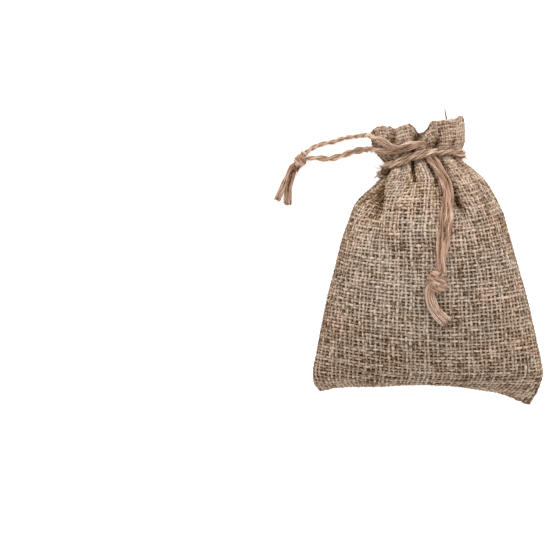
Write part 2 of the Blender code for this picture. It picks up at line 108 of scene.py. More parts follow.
# Creases that gather the cloth: (cloth length from the bottom fold, x, depth, half width to the left,
# half width to the right).
FRONT_CREASES = {
    "left_valley": [
        (MOUTH_AT, -15.5, 1.8, 2.0, 2.0), (TIE_AT, -18.2, 4.4, 2.0, 1.3), (108.0, -21.6, 6.0, 5.5, 1.1),
        (100.0, -22.5, 9.0, 8.0, 1.1), (94.0, -23.0, 4.2, 8.0, 1.5), (86.0, -23.8, 0.8, 7.5, 3.5),
        (76.0, -24.6, 0.0, 6.0, 5.0),
    ],
    "left_pleat": [
        (MOUTH_AT, -10.0, 0.0, 1.5, 1.5), (TIE_AT, -12.0, 1.4, 1.2, 1.2), (108.0, -13.0, 0.6, 2.0, 2.0),
        (100.0, -13.4, 0.0, 2.0, 2.0),
    ],
    "centre_crease": [
        (MOUTH_AT, -3.8, 4.6, 2.2, 2.2), (TIE_AT, -7.2, 5.0, 1.2, 1.2), (112.0, -7.4, 4.6, 0.9, 0.9),
        (107.0, -6.7, 2.4, 1.0, 1.0), (103.0, -5.0, 1.2, 1.4, 1.4), (97.0, -3.6, 0.0, 3.0, 3.0),
    ],
    "tail_crease": [
        (MOUTH_AT, -0.6, 0.0, 1.0, 1.0), (TIE_AT, -1.4, 1.6, 0.8, 0.8), (114.0, 0.1, 2.8, 0.8, 0.8),
        (109.0, 1.9, 2.6, 0.8, 0.8), (104.0, 3.5, 1.8, 1.0, 1.0), (98.0, 4.8, 0.6, 1.6, 1.6),
        (90.0, 5.0, 0.0, 2.0, 2.0),
    ],
    "right_valley": [
        (MOUTH_AT, 6.8, 0.2, 1.8, 1.8), (129.0, 5.4, 1.7, 1.8, 1.8), (TIE_AT, 3.4, 4.0, 1.5, 1.3),
        (108.0, 7.8, 5.4, 2.6, 1.7), (103.0, 9.6, 5.8, 3.4, 1.6), (99.0, 11.2, 5.8, 4.4, 1.6),
        (94.0, 13.0, 4.8, 5.5, 1.4), (90.0, 15.4, 2.2, 6.0, 1.6), (83.0, 18.5, 0.0, 6.5, 4.0),
    ],
    "right_shoulder": [
        (MOUTH_AT, 12.0, 0.0, 1.5, 1.5), (TIE_AT, 12.2, 2.4, 1.4, 1.4), (108.0, 19.6, 1.5, 2.4, 2.4),
        (96.0, 24.6, 0.8, 3.0, 3.0), (84.0, 28.0, 0.0, 3.0, 3.0),
    ],
}
BACK_CREASES = {
    "back_far_left": [
        (MOUTH_AT, -18.0, 3.0, 2.0, 2.0), (TIE_AT, -14.6, 3.0, 1.5, 1.5), (108.0, -16.4, 2.6, 2.6, 2.6),
        (94.0, -20.0, 0.0, 5.0, 5.0),
    ],
    "back_left": [
        (MOUTH_AT, -8.4, 4.2, 2.0, 2.0), (TIE_AT, -8.0, 4.0, 1.5, 1.5), (108.0, -8.4, 2.6, 2.4, 2.4),
        (97.0, -9.0, 0.0, 4.0, 4.0),
    ],
    "back_middle": [
        (MOUTH_AT, 1.6, 3.6, 2.0, 2.0), (TIE_AT, -1.4, 3.6, 1.4, 1.4), (108.0, 0.6, 2.6, 2.4, 2.4),
        (97.0, 1.6, 0.0, 4.0, 4.0),
    ],
    "back_right": [
        (MOUTH_AT, 9.4, 4.0, 2.0, 2.0), (TIE_AT, 6.6, 4.0, 1.5, 1.5), (108.0, 10.6, 3.0, 2.6, 2.6),
        (94.0, 14.0, 0.0, 5.0, 5.0),
    ],
}
CREASE_SHARPNESS = 1.3
# A narrow slit at the bottom of each crease, as shares of its depth and half width.
SLIT_DEPTH = 0.35
SLIT_WIDTH = 0.40
# How far the bottom fold dips (x, rise), fading out over the first cloth lengths.
FOLD_DIPS = [
    (-46.0, -2.6), (-41.0, -1.8), (-34.0, -1.8), (-27.0, -1.9), (-20.0, -1.9), (-13.0, -1.2), (-9.0, -0.7),
    (-5.0, -0.3), (1.0, 0.2), (8.0, 0.6), (16.0, 0.5), (24.0, 0.3), (30.0, 0.5), (34.0, 0.4), (38.0, -0.2),
    (42.0, -0.7), (46.0, -1.5),
]
FOLD_DIP_REACH = 22.0
# How much further out the right seam lies: (cloth length, x).
SEAM_OUT = [(0.0, 1.1), (20.0, 0.8), (40.0, 0.4), (60.0, 0.1), (75.0, 0.0)]
SEAM_OUT_CURVE = 3
# Small rises and dips of the hem's edge on the front: (x, rise).
MOUTH_DIPS = [
    (-27.0, 0.6), (-25.4, 0.9), (-22.7, 0.1), (-18.7, -0.6), (-16.8, 0.3), (-15.0, 0.9), (-13.3, 0.1),
    (-10.9, -0.7), (-8.5, 0.0), (-1.3, 0.0), (0.2, 1.2), (1.4, 1.3), (2.7, 0.1), (4.1, -0.6),
    (8.1, -0.6), (13.0, -0.7), (15.6, 0.8),
]
TIE_PINCH = 1.1
TIE_PINCH_REACH = 3.5

# ---------------------------------------------------------------------------------------------
# The jute cord's routes, as in the frame.

# The doubled cord round the neck: (x, y, z), once round.
NECK_BANDS = {
    "neck_band_upper": [
        (-21.6, 43.0, 12.6), (-20.3, 43.2, 15.8), (-17.0, 43.9, 18.1), (-13.0, 45.2, 20.2),
        (-8.8, 46.9, 21.0), (-5.0, 48.0, 23.1), (-1.4, 48.8, 24.0), (1.8, 49.3, 23.8),
        (5.2, 49.6, 22.3), (8.8, 49.8, 20.6), (12.6, 49.6, 18.9), (16.0, 49.0, 16.8),
        (17.4, 48.5, 13.2), (16.5, 48.1, 9.1), (12.6, 47.6, 6.3), (7.6, 47.0, 5.0), (2.0, 46.3, 4.7),
        (-4.0, 45.6, 4.8), (-10.0, 44.7, 5.3), (-15.6, 43.6, 6.6), (-20.3, 42.8, 9.0),
    ],
    "neck_band_lower": [
        (-21.4, 40.4, 12.6), (-20.2, 40.8, 15.9), (-17.2, 41.4, 18.7), (-13.1, 42.7, 21.5),
        (-8.8, 44.3, 22.3), (-5.0, 45.4, 23.9), (-1.0, 46.1, 25.1), (2.4, 46.5, 24.9),
        (5.6, 46.7, 23.1), (8.9, 47.1, 21.3), (12.6, 46.7, 18.8), (16.1, 46.3, 16.8),
        (17.5, 45.9, 13.4), (16.3, 45.4, 9.6), (12.6, 44.9, 6.6), (7.6, 44.3, 5.0), (2.0, 43.6, 4.5),
        (-4.0, 42.9, 4.6), (-10.0, 42.1, 5.2), (-15.6, 41.1, 6.8), (-20.0, 40.3, 9.1),
    ],
}
# The strands that lie free, each from under the neck band to its knot: (x, y, z).
STRANDS = {
    "left_strand_a": [
        (-1.3, 52.5, 22.5), (-3.2, 52.9, 23.2), (-6.5, 52.2, 23.8), (-9.8, 51.3, 24.0),
        (-13.3, 50.6, 23.4), (-17.0, 51.3, 21.9), (-20.6, 52.9, 21.2), (-23.6, 54.2, 20.0),
        (-26.5, 55.4, 17.7), (-28.3, 56.0, 13.7), (-29.3, 56.1, 8.6), (-30.4, 56.2, 4.2),
        (-33.2, 56.1, 1.8), (-37.6, 55.4, 1.2), (-42.5, 53.8, 1.2), (-46.6, 53.0, 1.2),
        (-50.6, 51.6, 1.5), (-54.9, 48.7, 2.4),
    ],
    "left_strand_b": [
        (-2.0, 49.0, 21.2), (-3.6, 50.4, 21.4), (-6.4, 50.9, 21.6), (-9.4, 50.2, 21.7),
        (-12.6, 49.1, 21.2), (-16.0, 48.3, 19.9), (-19.3, 48.3, 18.8), (-22.8, 48.6, 17.9),
        (-24.8, 49.5, 14.2), (-26.4, 49.8, 9.6), (-27.9, 49.9, 5.0), (-30.6, 49.8, 2.0),
        (-34.2, 49.1, 1.2), (-38.2, 47.6, 1.2), (-42.2, 46.4, 1.2), (-46.6, 46.2, 1.2),
        (-50.4, 46.5, 1.4), (-53.9, 46.2, 2.1),
    ],
    "front_strand_a": [
        (1.5, 47.9, 20.9), (2.3, 45.3, 22.1), (3.9, 42.7, 24.0), (6.0, 39.6, 25.6), (7.5, 35.9, 27.2),
        (8.4, 32.3, 29.0), (8.8, 28.0, 31.1), (8.6, 23.0, 33.3), (7.9, 17.9, 35.1), (7.3, 13.2, 36.1),
        (6.9, 8.8, 37.2), (5.8, 4.6, 38.6), (4.9, 0.4, 39.3), (4.9, -3.2, 39.2), (5.0, -6.2, 38.7),
    ],
    "front_strand_b": [
        (-1.3, 47.1, 21.7), (-0.6, 44.6, 22.8), (0.9, 41.7, 25.0), (2.9, 38.7, 27.0),
        (4.5, 35.0, 28.9), (5.4, 31.3, 30.7), (5.9, 27.1, 32.7), (5.6, 22.6, 34.4), (5.0, 17.7, 35.9),
        (4.3, 12.8, 36.6), (3.6, 8.2, 37.2), (3.2, 3.6, 37.3), (3.1, -1.4, 37.2), (2.8, -5.6, 37.2),
    ],
}
# The cut ends beyond the knots, which flare as their fibres come loose: (x, y, z).
LOOSE_ENDS = {
    "left_end_a": [
        (-61.5, 42.3, 1.5), (-63.3, 38.3, 1.5), (-64.8, 34.1, 1.6), (-66.1, 30.2, 1.8),
        (-67.3, 26.8, 1.9),
    ],
    "left_end_b": [
        (-59.0, 40.4, 1.5), (-60.5, 36.7, 1.5), (-61.9, 32.9, 1.6), (-62.8, 28.9, 1.8),
        (-63.5, 24.9, 1.9),
    ],
    "front_end": [
        (-0.7, -13.6, 36.6), (-0.6, -16.6, 36.0), (0.7, -20.5, 35.4), (3.4, -24.5, 34.6),
        (7.0, -28.0, 33.2),
    ],
}
# The knots: centre, the way the cord runs through, and the sizes along it, across it and upwards.
KNOTS = {
    "left_knot": ((-57.4, 44.9, 2.6), (-0.41, -0.91), (8.0, 5.8, 5.0)),
    "front_knot": ((2.3, -10.0, 37.7), (-0.5, -0.87), (7.4, 6.8, 5.0)),
}


def unit(vectors):
    return vectors / np.maximum(np.linalg.norm(vectors, axis=-1, keepdims=True), 1e-9)


def lengths_along(line):
    """The running length at each point of a line, from 0 at its start."""
    return np.concatenate([[0.0], np.cumsum(np.linalg.norm(np.diff(line, axis=0), axis=1))])


def sampled(line, run, at):
    """The line's columns, read where its running value is at."""
    return np.column_stack([np.interp(at, run, line[:, k]) for k in range(line.shape[1])])


def evenly(line, samples):
    run = lengths_along(line)
    return sampled(line, run, np.linspace(0.0, run[-1], samples))


def at_fraction(line, fraction):
    return sampled(line, np.arange(len(line)), fraction * (len(line) - 1))[0]


def line_through(points, samples=LINE_SAMPLES):
    """A smooth line through the points, sampled at even steps of its own length."""
    points = np.array(points, float)
    ends = np.vstack([2 * points[0] - points[1], points, 2 * points[-1] - points[-2]])
    spans = np.linalg.norm(np.diff(ends, axis=0), axis=1) ** CENTRIPETAL
    knots = np.concatenate([[0.0], np.cumsum(spans)])
    pieces = []
    for i in range(1, len(ends) - 2):
        t = np.linspace(knots[i], knots[i + 1], SPAN_SAMPLES, endpoint=False)[:, None]
        t0, t1, t2, t3 = knots[i - 1 : i + 3]
        p0, p1, p2, p3 = ends[i - 1 : i + 3]
        a1 = (t1 - t) / (t1 - t0) * p0 + (t - t0) / (t1 - t0) * p1
        a2 = (t2 - t) / (t2 - t1) * p1 + (t - t1) / (t2 - t1) * p2
        a3 = (t3 - t) / (t3 - t2) * p2 + (t - t2) / (t3 - t2) * p3
        b1 = (t2 - t) / (t2 - t0) * a1 + (t - t0) / (t2 - t0) * a2
        b2 = (t3 - t) / (t3 - t1) * a2 + (t - t1) / (t3 - t1) * a3
        pieces.append((t2 - t) / (t2 - t1) * b1 + (t - t1) / (t2 - t1) * b2)
    return evenly(np.vstack(pieces + [points[-1:]]), samples)


def between(x, rows, index=1):
    """Values of one column between the rows of a table, which its first column places."""
    table = np.array(rows)
    return np.interp(x, table[:, 0], table[:, index])


def column(rows, at, index):
    """Read one column of a table at a cloth length, eased between its rows."""
    ordered = sorted(rows)
    keys = np.array([row[0] for row in ordered])
    values = np.array([row[index] for row in ordered])
    slot = int(np.clip(np.searchsorted(keys, at) - 1, 0, len(keys) - 2))
    share = np.clip((at - keys[slot]) / (keys[slot + 1] - keys[slot]), 0.0, 1.0)
    share = share * share * (3.0 - 2.0 * share)
    return values[slot] + (values[slot + 1] - values[slot]) * share


# ---------------------------------------------------------------------------------------------
# The sack's form at each cloth length.

BODY_LINES = [line_through(p) for p in (LEFT_SEAM, RIGHT_SEAM, FRONT_CENTRE, BACK_CENTRE)]
HEADING_LINES = [line_through(p) for p in (LEFT_HEADING, RIGHT_HEADING, FRONT_HEADING, BACK_HEADING)]
MOUTH_LINE = line_through(MOUTH_EDGE)


def guides(at):
    """The two seams (x, y, z) and the two centre lines (y, z) at a cloth length."""
    if at <= TIE_AT:
        lines = [at_fraction(line, at / TIE_AT) for line in BODY_LINES]
        lines[3][1] = max(lines[3][1], 0.0)
        return lines
    share = (at - TIE_AT) / (MOUTH_AT - TIE_AT)
    return [at_fraction(line, share) for line in HEADING_LINES]


def rounding(across, power, level):
    """Height of the section's curve, 1 in the middle and 0 at the seams."""
    beyond = np.clip((np.abs(across) - level) / (1.0 - level), 0.0, 1.0)
    return (1.0 - beyond**power) ** (1.0 / power)


def creased(x, z, at, creases, outward):
    """Push the section's curve inwards along each crease and at the tie. Also gives how deep each
    point lies in the creases, and where each crease is, its depth and its narrower half width."""
    run = lengths_along(np.column_stack([x, z]))
    slope = unit(np.column_stack([np.gradient(x), np.gradient(z)]))
    inward = outward * np.column_stack([slope[:, 1], -slope[:, 0]])
    push = np.zeros(len(x))
    folds = []
    for rows in creases.values():
        centre = np.interp(column(rows, at, 1), x, run)
        depth, left, right = (column(rows, at, k) for k in (2, 3, 4))
        off = np.abs(run - centre) / np.where(run < centre, left, right)
        push += depth * np.exp(-(off**CREASE_SHARPNESS))
        push += SLIT_DEPTH * depth * np.exp(-((off / SLIT_WIDTH) ** 2))
        folds.append((int(np.searchsorted(run, centre)), depth, min(left, right)))
    pinch = push + TIE_PINCH * np.exp(-(((at - TIE_AT) / TIE_PINCH_REACH) ** 2))
    return x + pinch * inward[:, 0], z + pinch * inward[:, 1], push, folds


def panel(at, front):
    """One panel's section, from the left seam to the right seam, as points (x, y, z, depth in the
    creases, way along the section before it is creased), and its creases."""
    left, right, front_centre, back_centre = guides(at)
    centre = front_centre if front else back_centre
    across = np.sin(np.linspace(-pi / 2, pi / 2, OUTLINE_SAMPLES))
    share = (1.0 + across) / 2.0
    x = left[0] + (right[0] - left[0]) * share
    seam_y = left[1] + (right[1] - left[1]) * share
    seam_z = left[2] + (right[2] - left[2]) * share
    y = seam_y + (centre[0] - (left[1] + right[1]) / 2.0) * (1.0 - across**2)
    if front and at > TIE_AT:
        tie_y = panel(TIE_AT, True)[0][:, 1]
        edge_y = between(x, MOUTH_LINE) + between(x, MOUTH_DIPS)
        y = tie_y + (edge_y - tie_y) * (at - TIE_AT) / (MOUTH_AT - TIE_AT)
    x = x + between(at, SEAM_OUT) * share**SEAM_OUT_CURVE
    y = y + between(x, FOLD_DIPS) * max(1.0 - at / FOLD_DIP_REACH, 0.0) ** 2
    power = column(SECTIONS, at, 1 if front else 3)
    level = column(SECTIONS, at, 2 if front else 4)
    z = seam_z + (centre[1] - seam_z) * rounding(across, power, level)
    plain = lengths_along(np.column_stack([x, z]))
    creases, outward = (FRONT_CREASES, 1.0) if front else (BACK_CREASES, -1.0)
    x, z, push, folds = creased(x, z, at, creases, outward)
    return np.column_stack([x, y, z, push, plain]), folds


# ---------------------------------------------------------------------------------------------
# Materials: a fibre's colour comes from the shade and tint on its vertices.

# Colours by shade: (shade, colour, warmer or pinker colour, which the tint mixes in).
BURLAP_COLOURS = [
    (0.00, (0.070, 0.038, 0.018), (0.074, 0.032, 0.010)),
    (0.15, (0.115, 0.070, 0.038), (0.124, 0.061, 0.023)),
    (0.35, (0.225, 0.160, 0.108), (0.242, 0.145, 0.078)),
    (0.60, (0.420, 0.330, 0.255), (0.445, 0.307, 0.215)),
    (0.80, (0.600, 0.500, 0.405), (0.636, 0.465, 0.348)),
    (1.00, (0.760, 0.660, 0.555), (0.800, 0.614, 0.477)),
]
JUTE_COLOURS = [
    (0.00, (0.105, 0.048, 0.020), (0.110, 0.044, 0.021)),
    (0.15, (0.220, 0.120, 0.058), (0.232, 0.107, 0.056)),
    (0.30, (0.365, 0.222, 0.122), (0.390, 0.203, 0.122)),
    (0.55, (0.675, 0.480, 0.330), (0.705, 0.445, 0.325)),
    (0.80, (0.870, 0.715, 0.565), (0.895, 0.685, 0.570)),
    (1.00, (0.950, 0.840, 0.710), (0.980, 0.810, 0.720)),
]
WHITE = (1.0, 1.0, 1.0, 1.0)
SHEEN = 0.08
BUMP_STRENGTH = 0.4
BUMP_DISTANCE = 0.0002
BUMP_DETAIL = 3.0
FLOOR_ROUGHNESS = 0.9
FLOOR_COLOUR = (0.9, 0.9, 0.9, 1.0)
FLOOR_GLOW = 0.66


def new_material(name, roughness):
    made = bpy.data.materials.new(name)
    made.use_nodes = True
    shader = made.node_tree.nodes["Principled BSDF"]
    shader.inputs["Roughness"].default_value = roughness
    shader.inputs["Specular IOR Level"].default_value = SHEEN
    return made, made.node_tree, shader


def colour_ramp(tree, colours):
    ramp = tree.nodes.new("ShaderNodeValToRGB")
    elements = ramp.color_ramp.elements
    while len(elements) < len(colours):
        elements.new(0.5)
    for element, (at, colour) in zip(elements, colours):
        element.position = at
        element.color = (*colour, 1.0)
    return ramp


def fibre_material(name, colours, roughness, bump_scale):
    """Two ramps by shade, mixed by tint, with a fine fibrous bump."""
    made, tree, shader = new_material(name, roughness)
    sources = {}
    for key in ("shade", "tint"):
        sources[key] = tree.nodes.new("ShaderNodeAttribute")
        sources[key].attribute_name = key
    mix = tree.nodes.new("ShaderNodeMix")
    mix.data_type = "RGBA"
    for socket, kind in (("A", 1), ("B", 2)):
        ramp = colour_ramp(tree, [(row[0], row[kind]) for row in colours])
        tree.links.new(sources["shade"].outputs["Fac"], ramp.inputs["Fac"])
        colour_input = next(i for i in mix.inputs if i.name == socket and i.type == "RGBA")
        tree.links.new(ramp.outputs["Color"], colour_input)
    tree.links.new(sources["tint"].outputs["Fac"], mix.inputs["Factor"])
    mixed = next(o for o in mix.outputs if o.type == "RGBA")
    tree.links.new(mixed, shader.inputs["Base Color"])
    place = tree.nodes.new("ShaderNodeTexCoord")
    noise = tree.nodes.new("ShaderNodeTexNoise")
    noise.inputs["Scale"].default_value = bump_scale
    noise.inputs["Detail"].default_value = BUMP_DETAIL
    bump = tree.nodes.new("ShaderNodeBump")
    bump.inputs["Strength"].default_value = BUMP_STRENGTH
    bump.inputs["Distance"].default_value = BUMP_DISTANCE
    tree.links.new(place.outputs["Object"], noise.inputs["Vector"])
    tree.links.new(noise.outputs["Fac"], bump.inputs["Height"])
    tree.links.new(bump.outputs["Normal"], shader.inputs["Normal"])
    return made


def floor_material():
    made, _, shader = new_material("floor_white", FLOOR_ROUGHNESS)
    shader.inputs["Base Color"].default_value = FLOOR_COLOUR
    shader.inputs["Emission Color"].default_value = WHITE
    shader.inputs["Emission Strength"].default_value = FLOOR_GLOW
    return made


# The material of each slot: roughness and the bump's scale come last.
MATERIALS = {
    "jute_cord": fibre_material("jute_fibre", JUTE_COLOURS, 0.85, 3000.0),
    "burlap": fibre_material("burlap_yarn", BURLAP_COLOURS, 0.9, 2500.0),
}

# ---------------------------------------------------------------------------------------------
# Meshes of many thin tubes.

FLOOR_GAP = 0.02
COLOUR_LIMITS = (0.02, 0.98)
# How strands wander: (points from one random value to the next, how far the values spread).
WANDERS = {
    "cord_twist": (10, 0.25),
    "fibre_turn": (8, 0.12),
    "fibre_reach": (6, 0.12),
    "fibre_size": (8, 0.15),
    "fibre_shade": (8, 0.14),
    "fibre_hue": (8, 0.10),
    "loose_reach": (6, 0.10),
    "loose_turn": (12, 0.35),
    "yarn_size": (6, 0.15),
    "yarn_slub": (12, 1.0),
    "yarn_ridge": (3, 0.5),
    "yarn_bend": (4, 0.10),
    "yarn_drift": (30, 0.08),
    "yarn_shade": (4, 0.13),
    "yarn_warmth": (12, 0.10),
    "thread_size": (3, 0.15),
    "tuft_size": (3, 0.20),
}


def wander(rng, kind, strands, points):
    """Smooth random numbers along each of several strands."""
    step, amount = WANDERS[kind]
    knots = rng.normal(0.0, 1.0, (strands, points // step + 3))
    at = np.arange(points) / step
    low = at.astype(int)
    share = at - low
    share = share * share * (3 - 2 * share)
    return amount * (knots[:, low] * (1 - share) + knots[:, low + 1] * share)


def round_section(sides):
    """The angles of a tube's sides, one of them outermost."""
    return 2 * pi * np.arange(sides) / sides + pi / 2


def tubes(centres, facing, wide, high, turn, closed=False):
    """Tubes with oval sections, their corners at the angles turn. centres and facing are
    (tube, point, 3); wide and high, (tube, point), are half sizes across and along facing. Gives
    vertices (tube, point, side, 3) and faces."""
    if closed:
        ahead = np.roll(centres, -1, axis=1) - np.roll(centres, 1, axis=1)
    else:
        ahead = np.gradient(centres, axis=1)
    ahead = unit(ahead)
    side = unit(np.cross(facing, ahead))
    up = np.cross(ahead, side)
    sides = len(turn)
    places = (
        centres[:, :, None]
        + side[:, :, None] * (wide[..., None] * np.cos(turn))[..., None]
        + up[:, :, None] * (high[..., None] * np.sin(turn))[..., None]
    )
    count, points = centres.shape[:2]
    index = np.arange(count * points * sides).reshape(count, points, sides)
    near = index if closed else index[:, :-1]
    far = np.roll(index, -1, axis=1) if closed else index[:, 1:]
    faces = np.stack([near, np.roll(near, -1, axis=2), np.roll(far, -1, axis=2), far], -1)
    faces = faces.reshape(-1, 4).tolist()
    if not closed:
        faces += index[:, 0, ::-1].tolist() + index[:, -1].tolist()
    return places, faces


def carried_up(line, first):
    """A direction square to the line at each point, turned as little as possible along it."""
    ahead = unit(np.gradient(line, axis=0))
    up = np.empty_like(line)
    held = np.array(first, float)
    for i, way in enumerate(ahead):
        held = held - held.dot(way) * way
        held /= np.linalg.norm(held)
        up[i] = held
    return up


def painted_light(places, tones):
    """How much paler each place is painted, as painted light and shade."""
    total = 0.0
    for x, y, reach, paler in tones:
        away = (places[..., 0] - x) ** 2 + (places[..., 1] - y) ** 2
        total = total + paler * np.exp(-away / reach**2)
    return total


def add_piece(name, places, faces, slot, shade, tint):
    """A piece of the object, with its fibres' shade and tint held on its vertices."""
    places = places.reshape(-1, 3)
    places[:, 2] = np.maximum(places[:, 2], FLOOR_GAP)
    shade = np.clip(shade, *COLOUR_LIMITS).ravel()
    tint = np.clip(tint, *COLOUR_LIMITS).ravel()
    mesh = bpy.data.meshes.new(name)
    mesh.from_pydata((places * MM).tolist(), [], faces)
    for key, values in (("shade", shade), ("tint", tint)):
        mesh.attributes.new(key, "FLOAT", "POINT").data.foreach_set("value", values.astype(np.float32))
    corner = np.empty(len(mesh.loops), np.int32)
    mesh.loops.foreach_get("vertex_index", corner)
    lookup = mesh.uv_layers.new(name="OFBake")
    lookup.data.foreach_set("uv", np.column_stack([shade, tint])[corner].astype(np.float32).ravel())
    mesh.materials.append(MATERIALS[slot])
    mesh.shade_smooth()
    piece = bpy.data.objects.new(name, mesh)
    bpy.context.scene.collection.objects.link(piece)
    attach(piece, BODY)
    return piece


HAIR_POINTS = 5
HAIR_RADIUS = 0.04
HAIR_SECTION = round_section(3)
HAIR_SIZES = (0.7, 1.3)
# Keeps a hair's facing from lying along the hair.
HAIR_FACING_SHIFT = 0.01
HAIR_TINTS = (0.2, 0.9)
# The kinds of hairs: (slot, shortest, longest, curl, how pale, how much that varies).
HAIRS = {
    "cord": ("jute_cord", 1.2, 3.8, 0.35, 0.55, 0.14),
    "knot": ("jute_cord", 1.2, 3.2, 0.35, 0.52, 0.14),
    "cloth": ("burlap", 0.8, 2.8, 0.55, 0.62, 0.16),
}


def hairs(name, kind, start, way, out, rng):
    """Thin fibres from the starts, each in its own way, and bent at random to the side and in or out."""
    slot, shortest, longest, curl, pale, varied = HAIRS[kind]
    count = len(start)
    length = rng.uniform(shortest, longest, count)
    share = np.linspace(0.0, 1.0, HAIR_POINTS)
    side = unit(np.cross(out, way))
    bend = (rng.normal(0, curl, (count, 1)) * side + rng.normal(0, 0.5 * curl, (count, 1)) * out)[:, None]
    paths = start[:, None] + length[:, None, None] * (
        share[:, None] * unit(way)[:, None] + (share**2)[:, None] * bend
    )
    size = np.full((count, HAIR_POINTS), HAIR_RADIUS) * rng.uniform(*HAIR_SIZES, (count, 1))
    facing = np.broadcast_to(out[:, None] + HAIR_FACING_SHIFT, paths.shape)
    places, faces = tubes(paths, facing, size, size, HAIR_SECTION)
    value = pale + rng.normal(0, varied, (count, 1, 1)) + np.zeros(places.shape[:3])
    tint = rng.uniform(*HAIR_TINTS, (count, 1, 1)) + np.zeros(places.shape[:3])
    return add_piece(name, places, faces, slot, value, tint)


# ---------------------------------------------------------------------------------------------
# The cords: two plies of fibres twisted together.

CORD_SEED = 5
CORD_DIAMETER = 2.2
CORD_STEP = 0.7
TWIST_LENGTH = 7.8
PLY_REACH = 0.46
PLY_CORE = 0.42
PLY_TINT = 0.30
PLY_SHADE = 0.06
FIBRES = 15
FIBRE_REACH = 0.48
FIBRE_SIZE = 0.115
FIBRE_SECTION = round_section(5)
UNTWIST = -0.35
UP = np.array([0.0, 0.0, 1.0])
# Painted shade in the cords: a fibre's shade rises outwards from the one at this share of the cord's
# radius.
MEAN_DEPTH = 0.85
DEPTH_PAINTED_LIGHT = 0.40
SHADE_SPREAD = 0.12
TINT_SPREAD = 0.16
FIBRE_GRAIN = 0.03
# Fibres that lie side by side share a part of their shade.
FIBRE_GROUP = 3

# How each cord opens and flattens: (share of its length, width, height, twist), 1 where it is round
# and fully twisted.
ROUND = [(0.0, 1.0, 1.0, 1.0), (1.0, 1.0, 1.0, 1.0)]
OPENING = {
    "left_strand_a": [
        (0.0, 0.7, 0.6, 0.3), (0.025, 1.3, 0.65, 0.3), (0.05, 1.75, 0.65, 0.3), (0.11, 2.1, 0.6, 0.3),
        (0.25, 2.0, 0.6, 0.3), (0.35, 1.25, 0.9, 0.6), (0.48, 1.05, 0.95, 1.0), (1.0, 1.1, 0.95, 0.9),
    ],
    "left_strand_b": [
        (0.0, 1.5, 0.8, 0.4), (0.24, 1.7, 0.75, 0.3), (0.34, 1.3, 0.95, 0.5), (0.50, 1.45, 0.95, 0.7),
        (0.66, 1.6, 1.0, 0.7), (0.88, 1.45, 1.0, 0.6), (1.0, 1.0, 0.9, 0.8),
    ],
    "front_strand_a": [
        (0.0, 1.0, 0.9, 0.5), (0.2, 1.1, 0.9, 0.3), (0.4, 1.5, 0.8, 0.2), (0.6, 1.5, 0.85, 0.3),
        (0.75, 1.45, 0.9, 0.3), (1.0, 1.5, 1.0, 0.3),
    ],
    "front_strand_b": [
        (0.0, 1.0, 0.9, 0.5), (0.2, 1.1, 0.9, 0.3), (0.4, 1.4, 0.8, 0.2), (0.6, 1.5, 0.85, 0.3),
        (0.75, 1.45, 0.9, 0.3), (1.0, 1.5, 1.0, 0.3),
    ],
    "neck_band_upper": [(0.0, 1.05, 1.0, 0.9), (1.0, 1.05, 1.0, 0.9)],
    "neck_band_lower": [(0.0, 1.05, 1.0, 0.9), (1.0, 1.05, 1.0, 0.9)],
}
# How far a cord settles from its route: (share of its length, dx, dy, dz).
STILL = [(0.0, 0.0, 0.0, 0.0)]
SETTLED = {
    "left_strand_a": [
        (0.0, 0.0, -0.9, -1.9), (0.04, 0.0, -1.0, -1.2), (0.09, 0.0, -1.1, -0.6), (0.23, 0.0, -1.0, -0.6),
        (0.31, 0.0, 0.0, 0.0), (1.0, 0.0, 0.0, 0.0),
    ],
    "front_strand_b": [
        (0.0, 0.4, 0.0, 0.0), (0.15, 0.9, 0.0, 0.0), (0.30, 0.9, 0.0, 0.0), (0.45, 0.2, 0.0, 0.0),
        (1.0, 0.0, 0.0, 0.0),
    ],
    "left_end_a": [
        (0.0, 0.4, 0.0, 0.0), (0.5, 0.5, 0.0, 0.0), (0.85, -0.3, 0.0, 0.0), (1.0, -0.5, 0.0, 0.0),
    ],
    "left_end_b": [
        (0.0, -1.0, 0.0, 0.2), (0.5, -1.0, 0.0, 0.2), (0.8, 0.1, 0.0, 0.0), (1.0, 0.3, 0.0, 0.0),
    ],
}
# How pale, how uneven in shade (which also scales the painted shade towards each cord's middle) and how
# pink each cord is.
LOOKS = {
    "neck_band_upper": (0.68, 1.4, -0.15),
    "neck_band_lower": (0.57, 1.4, -0.15),
    "left_strand_a": (0.63, 1.0, 0.0),
    "left_strand_b": (0.63, 1.0, 0.05),
    "front_strand_a": (0.52, 1.1, 0.05),
    "front_strand_b": (0.51, 1.1, 0.1),
    "left_knot": (0.50, 1.4, 0.0),
    "front_knot": (0.49, 1.2, 0.05),
}
# Painted light and shade, where the cords are painted a little paler or darker: (x, y, reach, paler).
CORD_PAINTED_LIGHT = [
    (5.0, 5.5, 8.0, 0.13),
    (-22.5, 54.5, 4.5, 0.13),
    (-11.0, 45.0, 4.5, -0.14),
]


def settled(name, line):
    share = np.linspace(0.0, 1.0, len(line))
    return line + np.column_stack([between(share, SETTLED.get(name, STILL), k) for k in (1, 2, 3)])


def opened(table, points, index):
    return between(np.linspace(0.0, 1.0, points), table, index)


def in_steps(line):
    return evenly(line, int(lengths_along(line)[-1] / CORD_STEP) + 2)


